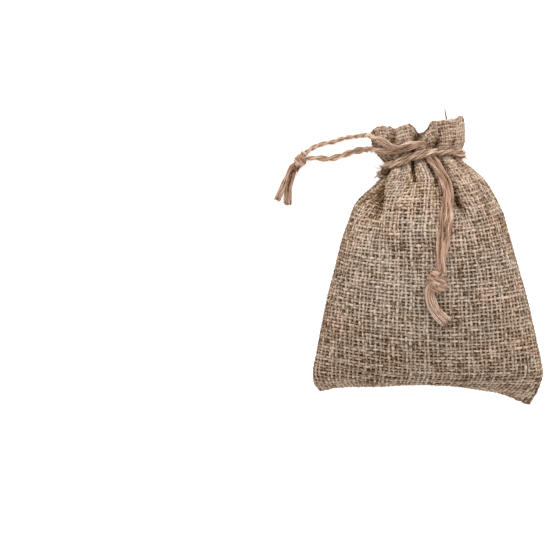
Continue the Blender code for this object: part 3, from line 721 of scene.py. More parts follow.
def cord_fibres(rng, line, up, opening, scale):
    """The fibres of two twisted plies: paths, half widths, half heights, and each one's ply."""
    points = len(line)
    across = unit(np.cross(np.gradient(line, axis=0), up))
    width, height = (scale * opened(opening, points, index) for index in (1, 2))
    step = np.linalg.norm(np.gradient(line, axis=0), axis=1)
    phase = np.cumsum(step * opened(opening, points, 3)) * 2 * pi / TWIST_LENGTH + rng.uniform(0, 2 * pi)
    phase += wander(rng, "cord_twist", 1, points)[0]
    paths, wide, high, ply_of = [], [], [], []
    for ply in range(2):
        angle = phase + pi * ply
        middle = line + PLY_REACH * (
            (width * np.cos(angle))[:, None] * across + (height * np.sin(angle))[:, None] * up
        )
        turn = 2 * pi * np.arange(FIBRES)[:, None] / FIBRES + UNTWIST * phase
        turn = turn + wander(rng, "fibre_turn", FIBRES, points)
        reach = FIBRE_REACH * (1.0 + wander(rng, "fibre_reach", FIBRES, points))
        ring = (reach * width * np.cos(turn))[..., None] * across
        ring = ring + (reach * height * np.sin(turn))[..., None] * up
        size = scale * FIBRE_SIZE * (1.0 + wander(rng, "fibre_size", FIBRES, points))
        paths += [middle, *(middle + ring)]
        wide += [PLY_CORE * width, *size]
        high += [PLY_CORE * height, *size]
        ply_of += [ply] * (FIBRES + 1)
    return np.array(paths), np.array(wide), np.array(high), np.array(ply_of)


def fibre_colours(rng, places, line, reach, ply=None):
    """Shade and tint at each vertex: paler outside, with painted shade towards the cord's middle. The two
    plies differ a little in colour."""
    count, points = places.shape[:2]
    depth = np.linalg.norm(places - line[None, :, None], axis=-1) / reach
    groups = wander(rng, "fibre_shade", count // FIBRE_GROUP + 1, points)
    own = rng.normal(0.0, SHADE_SPREAD, (count, 1)) + np.repeat(groups, FIBRE_GROUP, axis=0)[:count]
    grain = rng.normal(0.0, FIBRE_GRAIN, places.shape[:3])
    value = own[..., None] + DEPTH_PAINTED_LIGHT * (depth - MEAN_DEPTH) + grain
    hue = 0.5 + rng.normal(0.0, TINT_SPREAD, (count, 1)) + wander(rng, "fibre_hue", count, points)
    if ply is not None:
        hue = hue + PLY_TINT * (ply[:, None] - 0.5)
        value = value + PLY_SHADE * (ply[:, None, None] - 0.5)
    return value, hue[..., None] + rng.normal(0.0, FIBRE_GRAIN, places.shape[:3])


def rope(name, ending, line, up, rng, scale=1.0):
    """A twisted cord with the named cord's opening and look. Its up is one direction or one a point."""
    opening = OPENING.get(name, ROUND)
    line = in_steps(line)
    up = carried_up(line, up) if np.ndim(up) == 1 else evenly(up, len(line))
    paths, wide, high, ply = cord_fibres(rng, line, up, opening, scale)
    places, faces = tubes(paths, np.broadcast_to(up, paths.shape), wide, high, FIBRE_SECTION)
    reach = scale * CORD_DIAMETER / 2 * opened(opening, len(line), 1)[None, :, None]
    value, tint = fibre_colours(rng, places, line, reach, ply)
    shade, contrast, pink = LOOKS[name]
    value = shade + contrast * value + painted_light(places, CORD_PAINTED_LIGHT)
    return add_piece(name + ending, places, faces, "jute_cord", value, tint + pink)


HAIRS_PER_MM = 5.0
HAIR_START = 0.42
# Just more than one step, so that each hair's place has a point after it.
BEFORE_END = 1.001
HAIR_RISE = (0.05, 0.6)


def cord_hairs(name, lines, rng):
    """Fibres that stand out from cords, mostly along them."""
    starts, ways, outs = [], [], []
    for line in lines:
        count = int(lengths_along(line)[-1] * HAIRS_PER_MM)
        pick = rng.uniform(0, len(line) - BEFORE_END, count)
        low = pick.astype(int)
        middle = line[low] + (line[low + 1] - line[low]) * (pick - low)[:, None]
        ahead = unit(line[low + 1] - line[low])
        out = unit(np.cross(ahead, rng.normal(0, 1.0, (count, 3))))
        ahead = ahead * rng.choice([-1.0, 1.0], (count, 1))
        starts.append(middle + out * CORD_DIAMETER * HAIR_START)
        ways.append(ahead + out * rng.uniform(*HAIR_RISE, (count, 1)))
        outs.append(out)
    return hairs(name, "cord", *(np.concatenate(part) for part in (starts, ways, outs)), rng)


BAND_SCALE = 0.86
BAND_SHRINK = 0.93
BAND_OVERLAP = 20
# The tie pulls the two turns of the band together: (x, how far each shifts along y).
BAND_PINCH = [
    (-20.5, 1.3), (-17.5, 0.8), (-13.0, 0.35), (-4.0, 0.5), (2.0, 0.9), (5.0, 1.05), (10.0, 1.05),
    (15.0, 0.5), (17.5, 0.8),
]
BAND_SIDE = {"neck_band_upper": -1.0, "neck_band_lower": 1.0}


def neck_band(name, points, rng):
    """A ring of cord. It is joined at its lowest point. Gives its line."""
    line = line_through(points[-3:] + points + points[:3], CORD_SAMPLES)
    half = len(line) // 2
    start = np.argmin(np.linalg.norm(line[:half] - points[0], axis=1))
    end = half + np.argmin(np.linalg.norm(line[half:] - points[0], axis=1))
    ring = line[start:end]
    ring = np.roll(ring, -int(np.argmin(ring[:, 2])), axis=0)
    ring = np.vstack([ring, ring[:BAND_OVERLAP]])
    middle = ring.mean(axis=0)
    outward = unit(ring - middle)
    ring = middle + (ring - middle) * (BAND_SHRINK, 1.0, BAND_SHRINK)
    ring[:, 1] += BAND_SIDE[name] * between(ring[:, 0], BAND_PINCH)
    piece = rope(name, "_rope", ring, outward, rng, BAND_SCALE)
    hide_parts(name)
    return ring


# Loose fibres: (radius at the start and at the tip, flatness, fibres, unevenness, how pale, how pink).
BUNDLES = {
    "left_end_a": ((0.8, 1.7), 0.75, 56, 0.12, 0.38, 0.15),
    "left_end_b": ((0.8, 2.1), 0.75, 64, 0.16, 0.38, 0.15),
    "front_end": ((1.3, 1.5), 0.75, 54, 0.10, 0.66, 0.15),
    "core": ((1.0, 1.0), 1.0, 22, 0.0, 0.40, 0.0),
}
# It also scales the painted shade towards each bundle's middle.
BUNDLE_CONTRAST = 1.4
LOOSE_SIZE = 1.3
CUT_CURVE = 1.5
# How a fibre thins at its tip: (share of its length, size).
LOOSE_THINNING = [(0.0, 1.0), (0.9, 1.0), (1.0, 0.8)]
# How far apart the two halves of a split end lie, at its start and its tip.
SPLIT_DRIFT = [(0.0, 0.8), (1.0, 1.2)]
# How far back into its knot a loose end begins, as a share of the way to the knot's centre.
END_INSIDE = 0.6
FRONT_END_APART = 0.95


def bundle(name, kind, line, rng, sideways=0.0):
    """Loose fibres that spread from the first to the second radius and end unevenly."""
    spread, flatness, count, uneven, shade, pink = BUNDLES[kind]
    line = in_steps(line)
    points = len(line)
    up = carried_up(line, UP)
    across = unit(np.cross(np.gradient(line, axis=0), up))
    share = np.linspace(0.0, 1.0, points)
    cut = 1.0 - uneven * rng.random(count) ** CUT_CURVE
    own = share * cut[:, None]
    middle = np.stack([np.interp(own, share, line[:, k]) for k in range(3)], -1)
    reach = np.sqrt(rng.random(count))[:, None] * np.interp(own, [0, 1], spread)
    reach = reach * (1.0 + wander(rng, "loose_reach", count, points))
    turn = rng.uniform(0, 2 * pi, (count, 1)) + wander(rng, "loose_turn", count, points)
    drift = between(own, SPLIT_DRIFT) * sideways
    paths = (
        middle
        + (reach * np.cos(turn) + drift)[..., None] * across
        + (reach * np.sin(turn) * flatness)[..., None] * up
    )
    size = FIBRE_SIZE * (LOOSE_SIZE + wander(rng, "fibre_size", count, points))
    size = size * between(own, LOOSE_THINNING)
    places, faces = tubes(paths, np.broadcast_to(up, paths.shape), size, size, FIBRE_SECTION)
    value, tint = fibre_colours(rng, places, line, spread[1] + abs(sideways))
    return add_piece(name, places, faces, "jute_cord", shade + BUNDLE_CONTRAST * value, tint + pink)


# The way that a knot's wraps run round, where they lie across the cord.
WRAP_WAYS = {"left_knot": (-0.72, -0.70)}
# How much larger each knot looks than its solid, as its fibres are loose: (along, across, up).
KNOT_SWELL = {"left_knot": (1.0, 1.05, 1.0), "front_knot": (1.12, 1.45, 1.1)}
KNOT_FUZZ = {"left_knot": 120, "front_knot": 520}
FUZZ_DEPTH = 0.8
FUZZ_RISE = 0.25
FUZZ_DISORDER = 0.5
WRAP_SCALE = {"left_knot": 1.2, "front_knot": 1.4}
WRAP_SAMPLES = 200
WRAP_TURNS = 3.0
WRAP_START = 0.6 * pi
WRAP_TILT = 0.9
WRAP_TAPER = 0.55
WRAP_OUT = 0.1


def knot_wraps(name, centre, along, side, sizes, rng):
    """The cord wound round a knot, from end to end and tilted."""
    scale = WRAP_SCALE[name]
    share = np.linspace(0.0, 1.0, WRAP_SAMPLES)
    turn = 2 * pi * WRAP_TURNS * share + WRAP_START
    belly = np.sqrt(1.0 - WRAP_TAPER * (2 * share - 1.0) ** 2)
    reach = [size / 2 - scale * CORD_DIAMETER / 2 + WRAP_OUT for size in sizes]
    line = (
        centre
        + np.outer((2 * share - 1.0) * reach[0] + WRAP_TILT * np.cos(turn), along)
        + np.outer(belly * reach[1] * np.cos(turn), side)
        + np.outer(belly * reach[2] * np.sin(turn), UP)
    )
    outward = unit(line - centre - np.outer((line - centre) @ along, along))
    return rope(name, "_wraps", line, outward, rng, scale)


def knot_pieces(place, rng):
    """A knot: its wraps, the strands and ends that pass through inside of it, and its fuzz."""
    name = place + "_knot"
    centre, direction, sizes = (np.array(value) for value in KNOTS[name])
    sizes = sizes * KNOT_SWELL[name]
    along = unit(np.array([*WRAP_WAYS.get(name, direction), 0.0]))
    side = np.array([-along[1], along[0], 0.0])
    pieces = [knot_wraps(name, centre, along, side, sizes, rng)]
    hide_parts(name)
    entries = [points[-1] for strand, points in STRANDS.items() if strand.startswith(place)]
    exits = [points[0] for end, points in LOOSE_ENDS.items() if end.startswith(place)]
    for k, (begin, end) in enumerate(zip(entries, exits * 2), 1):
        through = line_through([begin, (centre * 2 + begin) / 3, (centre * 2 + end) / 3, end])
        pieces.append(bundle(f"{name}_core_{k}", "core", through, rng))
    count = KNOT_FUZZ[name]
    axes = np.array([along, side, UP])
    out = unit(rng.normal(0, 1.0, (count, 3)))
    start = centre + (out @ axes.T * 0.5 * sizes * FUZZ_DEPTH) @ axes
    way = unit(np.cross(out, along) + rng.normal(0, FUZZ_DISORDER, (count, 3))) + FUZZ_RISE * out
    return pieces + [hairs(name + "_fuzz", "knot", start, way, out, rng)]


def loose_end(name, points, rng):
    """A cut end beyond its knot, which begins inside of it. The front one is split in two."""
    centre = np.array(KNOTS[name.split("_")[0] + "_knot"][0])
    inside = np.array(points[0]) + END_INSIDE * (centre - points[0])
    line = settled(name, line_through([inside, *points], CORD_SAMPLES))
    split = (-FRONT_END_APART, FRONT_END_APART) if name == "front_end" else (0.0,)
    pieces = []
    for k, sideways in enumerate(split, 1):
        pieces.append(bundle(f"{name}_fibres_{k}", name, line, rng, sideways))
        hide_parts(name)
    return pieces


def strand(name, points, rng):
    piece = rope(name, "_rope", settled(name, line_through(points, CORD_SAMPLES)), UP, rng)
    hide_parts(name)
    return piece


def hairy_lines(place):
    """The lines that a doubled cord's hairs stand on: its strands, its ends, and its knot twice."""
    strands = [name for name in STRANDS if name.startswith(place)]
    lines = [settled(name, line_through(STRANDS[name])) for name in strands]
    lines += [line_through(points) for name, points in LOOSE_ENDS.items() if name.startswith(place)]
    centre, direction, sizes = (np.array(value) for value in KNOTS[place + "_knot"])
    reach = np.array([*direction, 0.0]) * sizes[0] / 2
    return lines + [line_through([centre - reach, centre, centre + reach])] * 2


def cords():
    """All the cord: the bands round the neck, and two doubled strands with their knots and ends."""
    rng = np.random.default_rng(CORD_SEED)
    rings = [neck_band(name, points, rng) for name, points in NECK_BANDS.items()]
    cord_hairs("neck_band_hairs", rings, rng)
    ropes = {name: strand(name, points, rng) for name, points in STRANDS.items()}
    on_it = {place: knot_pieces(place, rng) for place in ("left", "front")}
    for name, points in LOOSE_ENDS.items():
        on_it[name.split("_")[0]] += loose_end(name, points, rng)
    for place, pieces in on_it.items():
        pieces.append(cord_hairs(place + "_cord_hairs", hairy_lines(place), rng))


# ---------------------------------------------------------------------------------------------
# The woven cloth: a grid of places with two steps for each crossing, and yarns laid along it.

WARPS = 56
WARP_PITCH = 1.9
RING = 4 * WARPS
ROWS = 175
ROW_STEP = 0.823
SURFACE_ROWS = 270
# The mouth's edge, and the heading's inside, which closes and is painted darker downwards, as painted
# shade.
FOLD_RADIUS = 1.15
HEM_CLOSING = 0.85
HEM_CLOSING_CURVE = 1.5
HEM_REACH = 7.0
INSIDE_PAINTED_DEPTH = 5.0
# How strongly the columns crowd into the creases.
CROWDING = 0.9
CROWDING_ONSET = 12.0
COLUMN_SMOOTHING = 10
# How far the rows rise at the side seams, where the gathered cloth turns: (cloth length, rise).
SEAM_RISE = [(0.0, 0.0), (40.0, 0.5), (75.0, 3.5), (98.0, 7.0), (121.0, 3.5), (128.0, 1.5), (135.0, 0.0)]
RISE_CURVE = 2.5


def column_shares(line, folds):
    """Places of a panel's columns, as shares of its length: even along the cloth but crowded into
    the creases where the gathered cloth is wider than what shows."""
    run = line[:, 4]
    spare = CROWDING * max(1.0 - run[-1] / (WARPS * WARP_PITCH), 0.0)
    density = np.full(len(run), 1.0 / run[-1])
    crowd = sum(depth * np.exp(-(((run - run[k]) / width) ** 2)) for k, depth, width in folds)
    total = ((crowd[1:] + crowd[:-1]) / 2 * np.diff(run)).sum()
    taken = spare * total / (total + CROWDING_ONSET)
    density = (1.0 - taken) * density + taken * crowd / max(total, 1e-6)
    share = np.concatenate([[0.0], np.cumsum((density[1:] + density[:-1]) / 2 * np.diff(run))])
    return np.interp(np.linspace(0.0, share[-1], 2 * WARPS + 1), share, run) / run[-1]


def smoothed(values, reach):
    """Values evened out along the first axis over so many rows each way, twice."""
    for _ in range(2):
        padded = np.concatenate([values[:1]] * reach + [values] + [values[-1:]] * reach)
        total = np.cumsum(np.concatenate([0 * padded[:1], padded]), axis=0)
        values = (total[2 * reach + 1 :] - total[: -2 * reach - 1]) / (2 * reach + 1)
    return values


def panel_surface(ats, front):
    """A panel's columns, as points (x, y, z, depth in the creases), at each cloth length."""
    sections = [panel(at, front) for at in ats]
    shares = smoothed(np.array([column_shares(*one) for one in sections]), COLUMN_SMOOTHING)
    rows = []
    for (line, _), share in zip(sections, shares):
        run = line[:, 4]
        rows.append(sampled(line[:, :4], run, share * run[-1]))
    return np.array(rows)


def inward_of(ring):
    slope = np.roll(ring, -1, axis=0) - np.roll(ring, 1, axis=0)
    return unit(np.column_stack([slope[:, 2], np.zeros(len(ring)), -slope[:, 0]]))


def hem_turned(ring, bend, past):
    """A ring of the mouth's fold, turned inwards by the angle bend and so far down the inside."""
    if bend > 0.0:
        ring = ring + inward_of(ring) * FOLD_RADIUS * (1.0 - np.cos(bend))
    if past > 0.0:
        across = np.roll(ring[::-1], 1, axis=0)
        middle = (ring + across) / 2.0
        open_part = 1.0 - HEM_CLOSING * min(past / HEM_REACH, 1.0) ** HEM_CLOSING_CURVE
        ring = middle + (ring - middle) * open_part
    return ring


def ways_out(grid):
    """The way out of the cloth at each place of its grid."""
    mirror = (-np.arange(RING)) % RING
    before = np.concatenate([grid[:1, mirror], grid[:-1]])
    after = np.concatenate([grid[1:], 2 * grid[-1:] - grid[-2:-1]])
    facing = unit(np.cross(np.roll(grid, -1, axis=1) - np.roll(grid, 1, axis=1), after - before))
    for _ in range(2):
        facing = unit(facing * 2 + np.roll(facing, 1, axis=1) + np.roll(facing, -1, axis=1))
    return facing


def cloth_grid():
    """Places on the cloth's outer face, row by row from the bottom fold, over the mouth's edge and
    down inside the heading, with the way out of the cloth and the depth in the creases at each."""
    ats = np.linspace(0.0, MOUTH_AT, SURFACE_ROWS)
    surface = np.concatenate([panel_surface(ats, True), panel_surface(ats, False)[:, -2:0:-1]], axis=1)
    steps = 2 * WARPS + 1
    across = np.concatenate([np.linspace(-1, 1, steps), np.linspace(1, -1, steps)[1:-1]])
    seam_share = np.abs(across) ** RISE_CURVE
    columns = np.arange(RING)
    edge = MOUTH_AT - FOLD_RADIUS
    rows, depths = [], []
    for row in range(ROWS):
        along = row * ROW_STEP
        bend = np.clip((along - edge) / FOLD_RADIUS, 0.0, pi)
        past = max(along - edge - pi * FOLD_RADIUS, 0.0)
        at = min(along, edge) + FOLD_RADIUS * np.sin(bend) - past
        lift = between(at, SEAM_RISE) * seam_share
        place = np.clip((at + lift) / MOUTH_AT, 0.0, 1.0) * (SURFACE_ROWS - 1)
        low = np.minimum(place.astype(int), SURFACE_ROWS - 2)
        part = (place - low)[:, None]
        ring = surface[low, columns] * (1.0 - part) + surface[low + 1, columns] * part
        rows.append(hem_turned(ring[:, :3], bend, past))
        # Inside the heading the depth grows, which deepens its painted shade.
        depths.append(ring[:, 3] + INSIDE_PAINTED_DEPTH * min(past / HEM_REACH, 1.0))
    grid = np.array(rows)
    return grid, ways_out(grid), np.array(depths)


WEAVE_SEED = 11
YARN_LIFT = 0.27
YARN_SHARE = 0.46
YARN_SECTION = np.radians([55.0, 90.0, 125.0, 190.0, 270.0, 350.0])
# The two sets of yarns: (half width, half height, how much they vary in shade, rings or not).
YARN_SETS = {"warp_yarns": (0.70, 0.34, 0.05, False), "weft_yarns": (0.63, 0.34, 0.06, True)}
YARN_OUTER = YARN_LIFT + YARN_SETS["warp_yarns"][1]
YARN_SIZES = (0.62, 1.4)
SLUB_ONSET = 1.2
SLUB_SIZE = 0.35
YARN_GRAIN = 0.06
TINT_GRAIN = 0.08
WARMTH_SPREAD = 0.10
# Painted shade in the creases and at the sides, and painted highlights over a yarn's crossings and along
# its ridge.
CREASE_PAINTED_SHADE = 0.42
CREASE_FULL = 4.2
# A warmer tint painted into the creases' shade, for light thrown between the folds.
CREASE_PAINTED_WARMTH = 1.2
SIDE_PAINTED_SHADE = 0.18
CREST_PAINTED_LIGHT = 0.16
RIDGE_PAINTED_LIGHT = 0.46
RIDGE_PAINTED_OFFSET = 0.14
RIDGE_SHARPNESS = 8
# Painted light and shade, where the cloth is painted a little paler or darker: (x, y, reach, paler).
CLOTH_PAINTED_LIGHT = [
    (-28.0, -12.0, 13.0, 0.08), (-9.0, 9.0, 15.0, -0.05), (-11.0, -40.0, 20.0, -0.06),
    (-12.0, 56.0, 9.0, 0.13), (10.0, 58.0, 9.0, 0.13), (-46.0, -32.0, 13.0, -0.10),
    (-42.0, -4.0, 12.0, -0.08), (-28.0, -63.0, 11.0, 0.08), (0.0, -63.0, 13.0, 0.12),
    (28.0, -63.0, 13.0, 0.10), (16.5, 37.5, 6.0, 0.08), (-21.2, 30.2, 3.2, -0.11),
    (-22.5, 21.0, 4.6, 0.08), (11.8, 28.6, 3.6, 0.02), (9.2, 33.0, 2.6, -0.03), (33.0, 16.0, 11.0, -0.05),
]
# Parts of weft yarns on the front that are lighter or warmer: (from x, to x, y, lighter, warmer).
ACCENTS = [(-11.7, 0.2, 3.2, 0.08, 0.9), (-20.0, 1.0, 27.4, 0.12, 0.0)]
ACCENT_REACH = 0.8
ACCENT_FACING = 0.3
# The filled middle, where the cloth is stretched and greyer: its centre and half sizes.
MIDDLE = (-5.0, -12.0)
MIDDLE_REACH = (38.0, 34.0)
# How warm the colour is: at the edges, how much less in the middle, and how much more on the heading.
EDGE_WARMTH = 0.75
MIDDLE_COOLING = 0.55
HEADING_WARMTH = 0.3
HEADING_FROM = 40.0
HEADING_REACH = 12.0
PATCH_WAVES = 7
PATCH_LENGTHS = (8.0, 26.0)
# Patches in shade and in tint: (seed, strength).
SHADE_PATCHES = (3, 0.03)
TINT_PATCHES = (8, 0.18)


def thickness(rng, strands, points):
    """How thick spun yarn is along its length: uneven, with a few long slubs."""
    slubs = np.maximum(wander(rng, "yarn_slub", strands, points) - SLUB_ONSET, 0.0)
    return np.clip(1.0 + wander(rng, "yarn_size", strands, points), *YARN_SIZES) + SLUB_SIZE * slubs


def middle_share(places):
    """1 over the filled middle, fading to 0 at the cloth's edges."""
    x, y = ((places[..., k] - MIDDLE[k]) / MIDDLE_REACH[k] for k in range(2))
    return np.exp(-(x**2) - y**2)


def warm_part(places):
    """How warm the yarns' colour is."""
    heading = np.clip((places[..., 1] - HEADING_FROM) / HEADING_REACH, 0.0, 1.0)
    return EDGE_WARMTH - MIDDLE_COOLING * middle_share(places) + HEADING_WARMTH * heading


def patches(places, seed, strength):
    """Smooth uneven patches over the cloth, about as strong as strength either way."""
    rng = np.random.default_rng(seed)
    total = 0.0
    for _ in range(PATCH_WAVES):
        way = rng.uniform(0, 2 * pi)
        swing = 2 * pi / rng.uniform(*PATCH_LENGTHS)
        run = swing * (places[..., 0] * np.cos(way) + places[..., 1] * np.sin(way))
        total = total + np.sin(run + rng.uniform(0, 6))
    return strength * (total / np.sqrt(PATCH_WAVES))


def accented(centres, out):
    """Light and warm parts of a few yarns on the front: how much lighter and warmer each point is."""
    light, warm = np.zeros(centres.shape[:2]), np.zeros(centres.shape[:2])
    for x0, x1, y, lighter, warmer in ACCENTS:
        near = (np.abs(centres[..., 1] - y) < ACCENT_REACH) & (out[..., 2] > ACCENT_FACING)
        near &= (centres[..., 0] > x0) & (centres[..., 0] < x1)
        light[near] += lighter
        warm[near] += warmer
    return light, warm


def painted_crease_shade(depth):
    """How much darker the yarns are painted deep in a crease: painted shade, as less light reaches them
    there.
    """
    return CREASE_PAINTED_SHADE * (1.0 - np.exp(-((depth / CREASE_FULL) ** 2)))


def yarns(name, centres, facing, half, tall, shade, warmth, crest, closed, rng):
    """Spun yarns, each with a painted highlight along a ridge that wanders over its top."""
    places, faces = tubes(centres, facing, half, tall, YARN_SECTION, closed)
    count, points = centres.shape[:2]
    # A painted highlight along each yarn's top and over its crossings, and painted shade on its flanks and
    # where it dips under.
    ridge = np.cos(YARN_SECTION - pi / 2 - wander(rng, "yarn_ridge", count, points)[..., None])
    ridge = np.maximum(ridge, 0.0) ** RIDGE_SHARPNESS
    height = CREST_PAINTED_LIGHT * crest[..., None] + RIDGE_PAINTED_LIGHT * ridge - RIDGE_PAINTED_OFFSET
    value = shade[..., None] + height + rng.normal(0, YARN_GRAIN, places.shape[:3])
    value = value + patches(places, *SHADE_PATCHES) + painted_light(places, CLOTH_PAINTED_LIGHT)
    tint = warm_part(places) + warmth[..., None] + patches(places, *TINT_PATCHES)
    tint = tint + rng.normal(0, TINT_GRAIN, places.shape[:3])
    return add_piece(name, places, faces, "burlap", value, tint)


def yarn_set(name, centres, out, sideways, pitch, crest, depths, rng):
    """One set of yarns, in two pieces, uneven in their line, thickness, shade and warmth, with painted
    shade in the creases and at the sides.
    """
    width, height, varied, closed = YARN_SETS[name]
    count, points = centres.shape[:2]
    drift = wander(rng, "yarn_bend", count, points) + wander(rng, "yarn_drift", count, points)
    centres = centres + sideways * (drift * pitch)[..., None]
    half = np.minimum(width, YARN_SHARE * pitch) * thickness(rng, count, points)
    tall = height * (half / width) ** 0.5
    light, warm = accented(centres, out) if closed else (0.0, 0.0)
    # Painted shade in the creases, and a warmer painted tint there.
    deep = painted_crease_shade(depths)
    shade = 0.5 + rng.normal(0, varied, (count, 1)) + wander(rng, "yarn_shade", count, points) + light
    # Painted shade where the cloth faces sideways, at its seams and edges.
    shade = shade - deep - SIDE_PAINTED_SHADE * (1.0 - np.abs(out[..., 2])) ** 2
    warmth = rng.normal(0, WARMTH_SPREAD, (count, 1)) + wander(rng, "yarn_warmth", count, points)
    warmth = warmth + warm + CREASE_PAINTED_WARMTH * deep
    for k in range(2):
        some = slice(k * count // 2, (k + 1) * count // 2)
        parts = (values[some] for values in (centres, out, half, tall, shade, warmth, crest))
        yarns(f"{name}_{k + 1}", *parts, closed, rng)


def weave(grid, facing, depths):
    """The warp yarns, each from inside the front of the heading round the bottom fold to the back,
    and the weft yarns, each a ring."""
    rng = np.random.default_rng(WEAVE_SEED)
    crossings = np.arange((ROWS + 1) // 2)[:, None] + np.arange(2 * WARPS)
    over = np.zeros((ROWS, RING))
    over[::2, 1::2] = 1 - 2 * (crossings % 2)
    level = grid - facing * YARN_OUTER
    lift = facing * (YARN_LIFT * over[..., None])
    around = np.roll(grid, -1, axis=1) - np.roll(grid, 1, axis=1)
    along = np.gradient(grid, axis=0)
    warp_pitch = np.linalg.norm(around, axis=2)
    weft_pitch = np.linalg.norm(along, axis=2) * 2
    warp_columns = np.arange(1, 2 * WARPS, 2)

    def front_and_back(values):
        """Columns of the front from the heading down, then those of the back upwards."""
        return np.concatenate([values[::-1, warp_columns], values[:, RING - warp_columns]]).swapaxes(0, 1)

    warp = (level + lift, facing, unit(around), warp_pitch, over, depths)
    yarn_set("warp_yarns", *(front_and_back(values) for values in warp), rng)
    weft = (level - lift, facing, unit(along), weft_pitch, -over, depths)
    yarn_set("weft_yarns", *(values[::2] for values in weft), rng)


CLOTH_HAIR_SEED = 23
# Hairs on the cloth below the hem, and on the hem: (how many, from row, to row).
CLOTH_HAIRS = [(2200, 2, ROWS - 20), (420, 157, 168)]
HAIR_SUNK = 0.2
HAIR_LEAN = 0.7


def cloth_hairs(grid, facing):
    """Short fibres that have worked loose from the yarns."""
    rng = np.random.default_rng(CLOTH_HAIR_SEED)
    row = np.concatenate([rng.integers(low, high, count) for count, low, high in CLOTH_HAIRS])
    count = len(row)
    col = rng.integers(0, RING, count)
    out = facing[row, col]
    start = grid[row, col] - out * HAIR_SUNK
    along, across = grid[row + 1, col] - grid[row, col], grid[row, (col + 1) % RING] - grid[row, col]
    way = rng.normal(0, 1.0, (count, 1)) * unit(along) + rng.normal(0, 1.0, (count, 1)) * unit(across)
    way = unit(way) + out * rng.uniform(0.0, HAIR_LEAN, (count, 1))
    hairs("cloth_hairs", "cloth", start, way, out, rng)


STRAY_SEED = 31
STRAY_STEPS = 9
STRAY_FACING = (0.3, 0.2, 1.0)
STRAY_TIP = 0.6
STRAY_GRAIN = 0.05
# Threads that stand out: points (x, y, z), radius, shade and tint.
STRAY_THREADS = {
    "left_a": ([(-20.6, 38.6, 13.6), (-22.8, 37.6, 14.2), (-24.4, 36.6, 14.0)], 0.30, 0.34, 0.0),
    "left_b": ([(-20.6, 40.6, 14.6), (-22.4, 41.0, 15.2), (-24.6, 41.6, 15.8)], 0.12, 0.30, 0.0),
    "left_c": ([(-20.2, 41.0, 14.0), (-21.2, 41.8, 14.6), (-22.0, 42.6, 15.0)], 0.16, 0.18, 0.2),
    "right_a": ([(15.8, 46.4, 15.2), (17.4, 45.2, 15.4), (18.6, 43.4, 15.0)], 0.16, 0.32, 0.1),
    "right_b": ([(16.0, 47.2, 15.6), (17.6, 46.2, 16.2), (19.0, 43.8, 16.0)], 0.10, 0.55, 0.6),
    "right_c": ([(16.0, 44.8, 14.6), (17.4, 43.8, 14.6), (19.2, 43.6, 14.4)], 0.12, 0.30, 0.0),
    "mouth": ([(8.0, 61.6, 20.4), (7.6, 64.0, 20.6), (7.1, 67.1, 20.4)], 0.36, 0.08, 0.0),
}
# The gathered seam allowance below the tie, a hollow of yarns painted dark as painted shade, with pale
# loops of yarn round it: (root, tip, spread, yarns, radius, shade, tint).
TUFTS = {
    "painted_shade_hollow": ((-18.4, 39.8, 13.4), (-20.6, 38.9, 13.8), 0.75, 22, 0.34, 0.11, 0.9),
    "loops": ((-19.8, 37.6, 14.2), (-22.0, 38.8, 14.4), 0.6, 22, 0.26, 0.54, 0.1),
}
TUFT_BOW = np.array([-0.9, -0.5, 0.5])
TUFT_BOW_SPREAD = 0.3
TUFT_FACING = (0.0, 0.1, 1.0)
TUFT_FLATNESS = 0.9
TUFT_SPREAD = 0.10
TUFT_GRAIN = 0.04


def stray_threads():
    """Cut yarn ends and threads that stand out at the side seams and the hem."""
    rng = np.random.default_rng(STRAY_SEED)
    for name, (points, radius, shade, tint) in STRAY_THREADS.items():
        line = evenly(line_through(points), STRAY_STEPS)
        thinning = np.linspace(1.0, STRAY_TIP, STRAY_STEPS)
        size = radius * (1.0 + wander(rng, "thread_size", 1, STRAY_STEPS)) * thinning
        places, faces = tubes(line[None], carried_up(line, STRAY_FACING)[None], size, size, YARN_SECTION)
        value = shade + rng.normal(0, STRAY_GRAIN, places.shape[:3])
        add_piece("thread_" + name, places, faces, "burlap", value, np.full(places.shape[:3], tint))
    for name, (root, tip, spread, count, radius, shade, tint) in TUFTS.items():
        starts = root + rng.normal(0, spread, (count, 3))
        ends = tip + rng.normal(0, spread, (count, 3))
        bows = (starts + ends) / 2 + TUFT_BOW + rng.normal(0, TUFT_BOW_SPREAD, (count, 3))
        paths = np.array([evenly(line_through(three), STRAY_STEPS) for three in zip(starts, bows, ends)])
        size = radius * (1.0 + wander(rng, "tuft_size", count, STRAY_STEPS))
        facing = np.broadcast_to(TUFT_FACING, paths.shape)
        places, faces = tubes(paths, facing, size, size * TUFT_FLATNESS, YARN_SECTION)
        value = shade + rng.normal(0, TUFT_SPREAD, (count, 1, 1))
        value = value + rng.normal(0, TUFT_GRAIN, places.shape[:3])
        add_piece("seam_" + name, places, faces, "burlap", value, np.full(places.shape[:3], tint))


BASE_SEED = 3
BASE_INSET = 1.05
# The inner form is painted dark as the shade seen between the yarns, a little less dark over the middle.
BASE_PAINTED_SHADE = 0.18
BASE_GRAIN = 0.07
BASE_TINT_SPREAD = 0.2
MIDDLE_SHADE = 0.07
# Beyond this row of the grid, inside of the mouth, the form is painted darker still, as painted shade.
HOLLOW_ROW = 164
HOLLOW_PAINTED_SHADE = 0.16


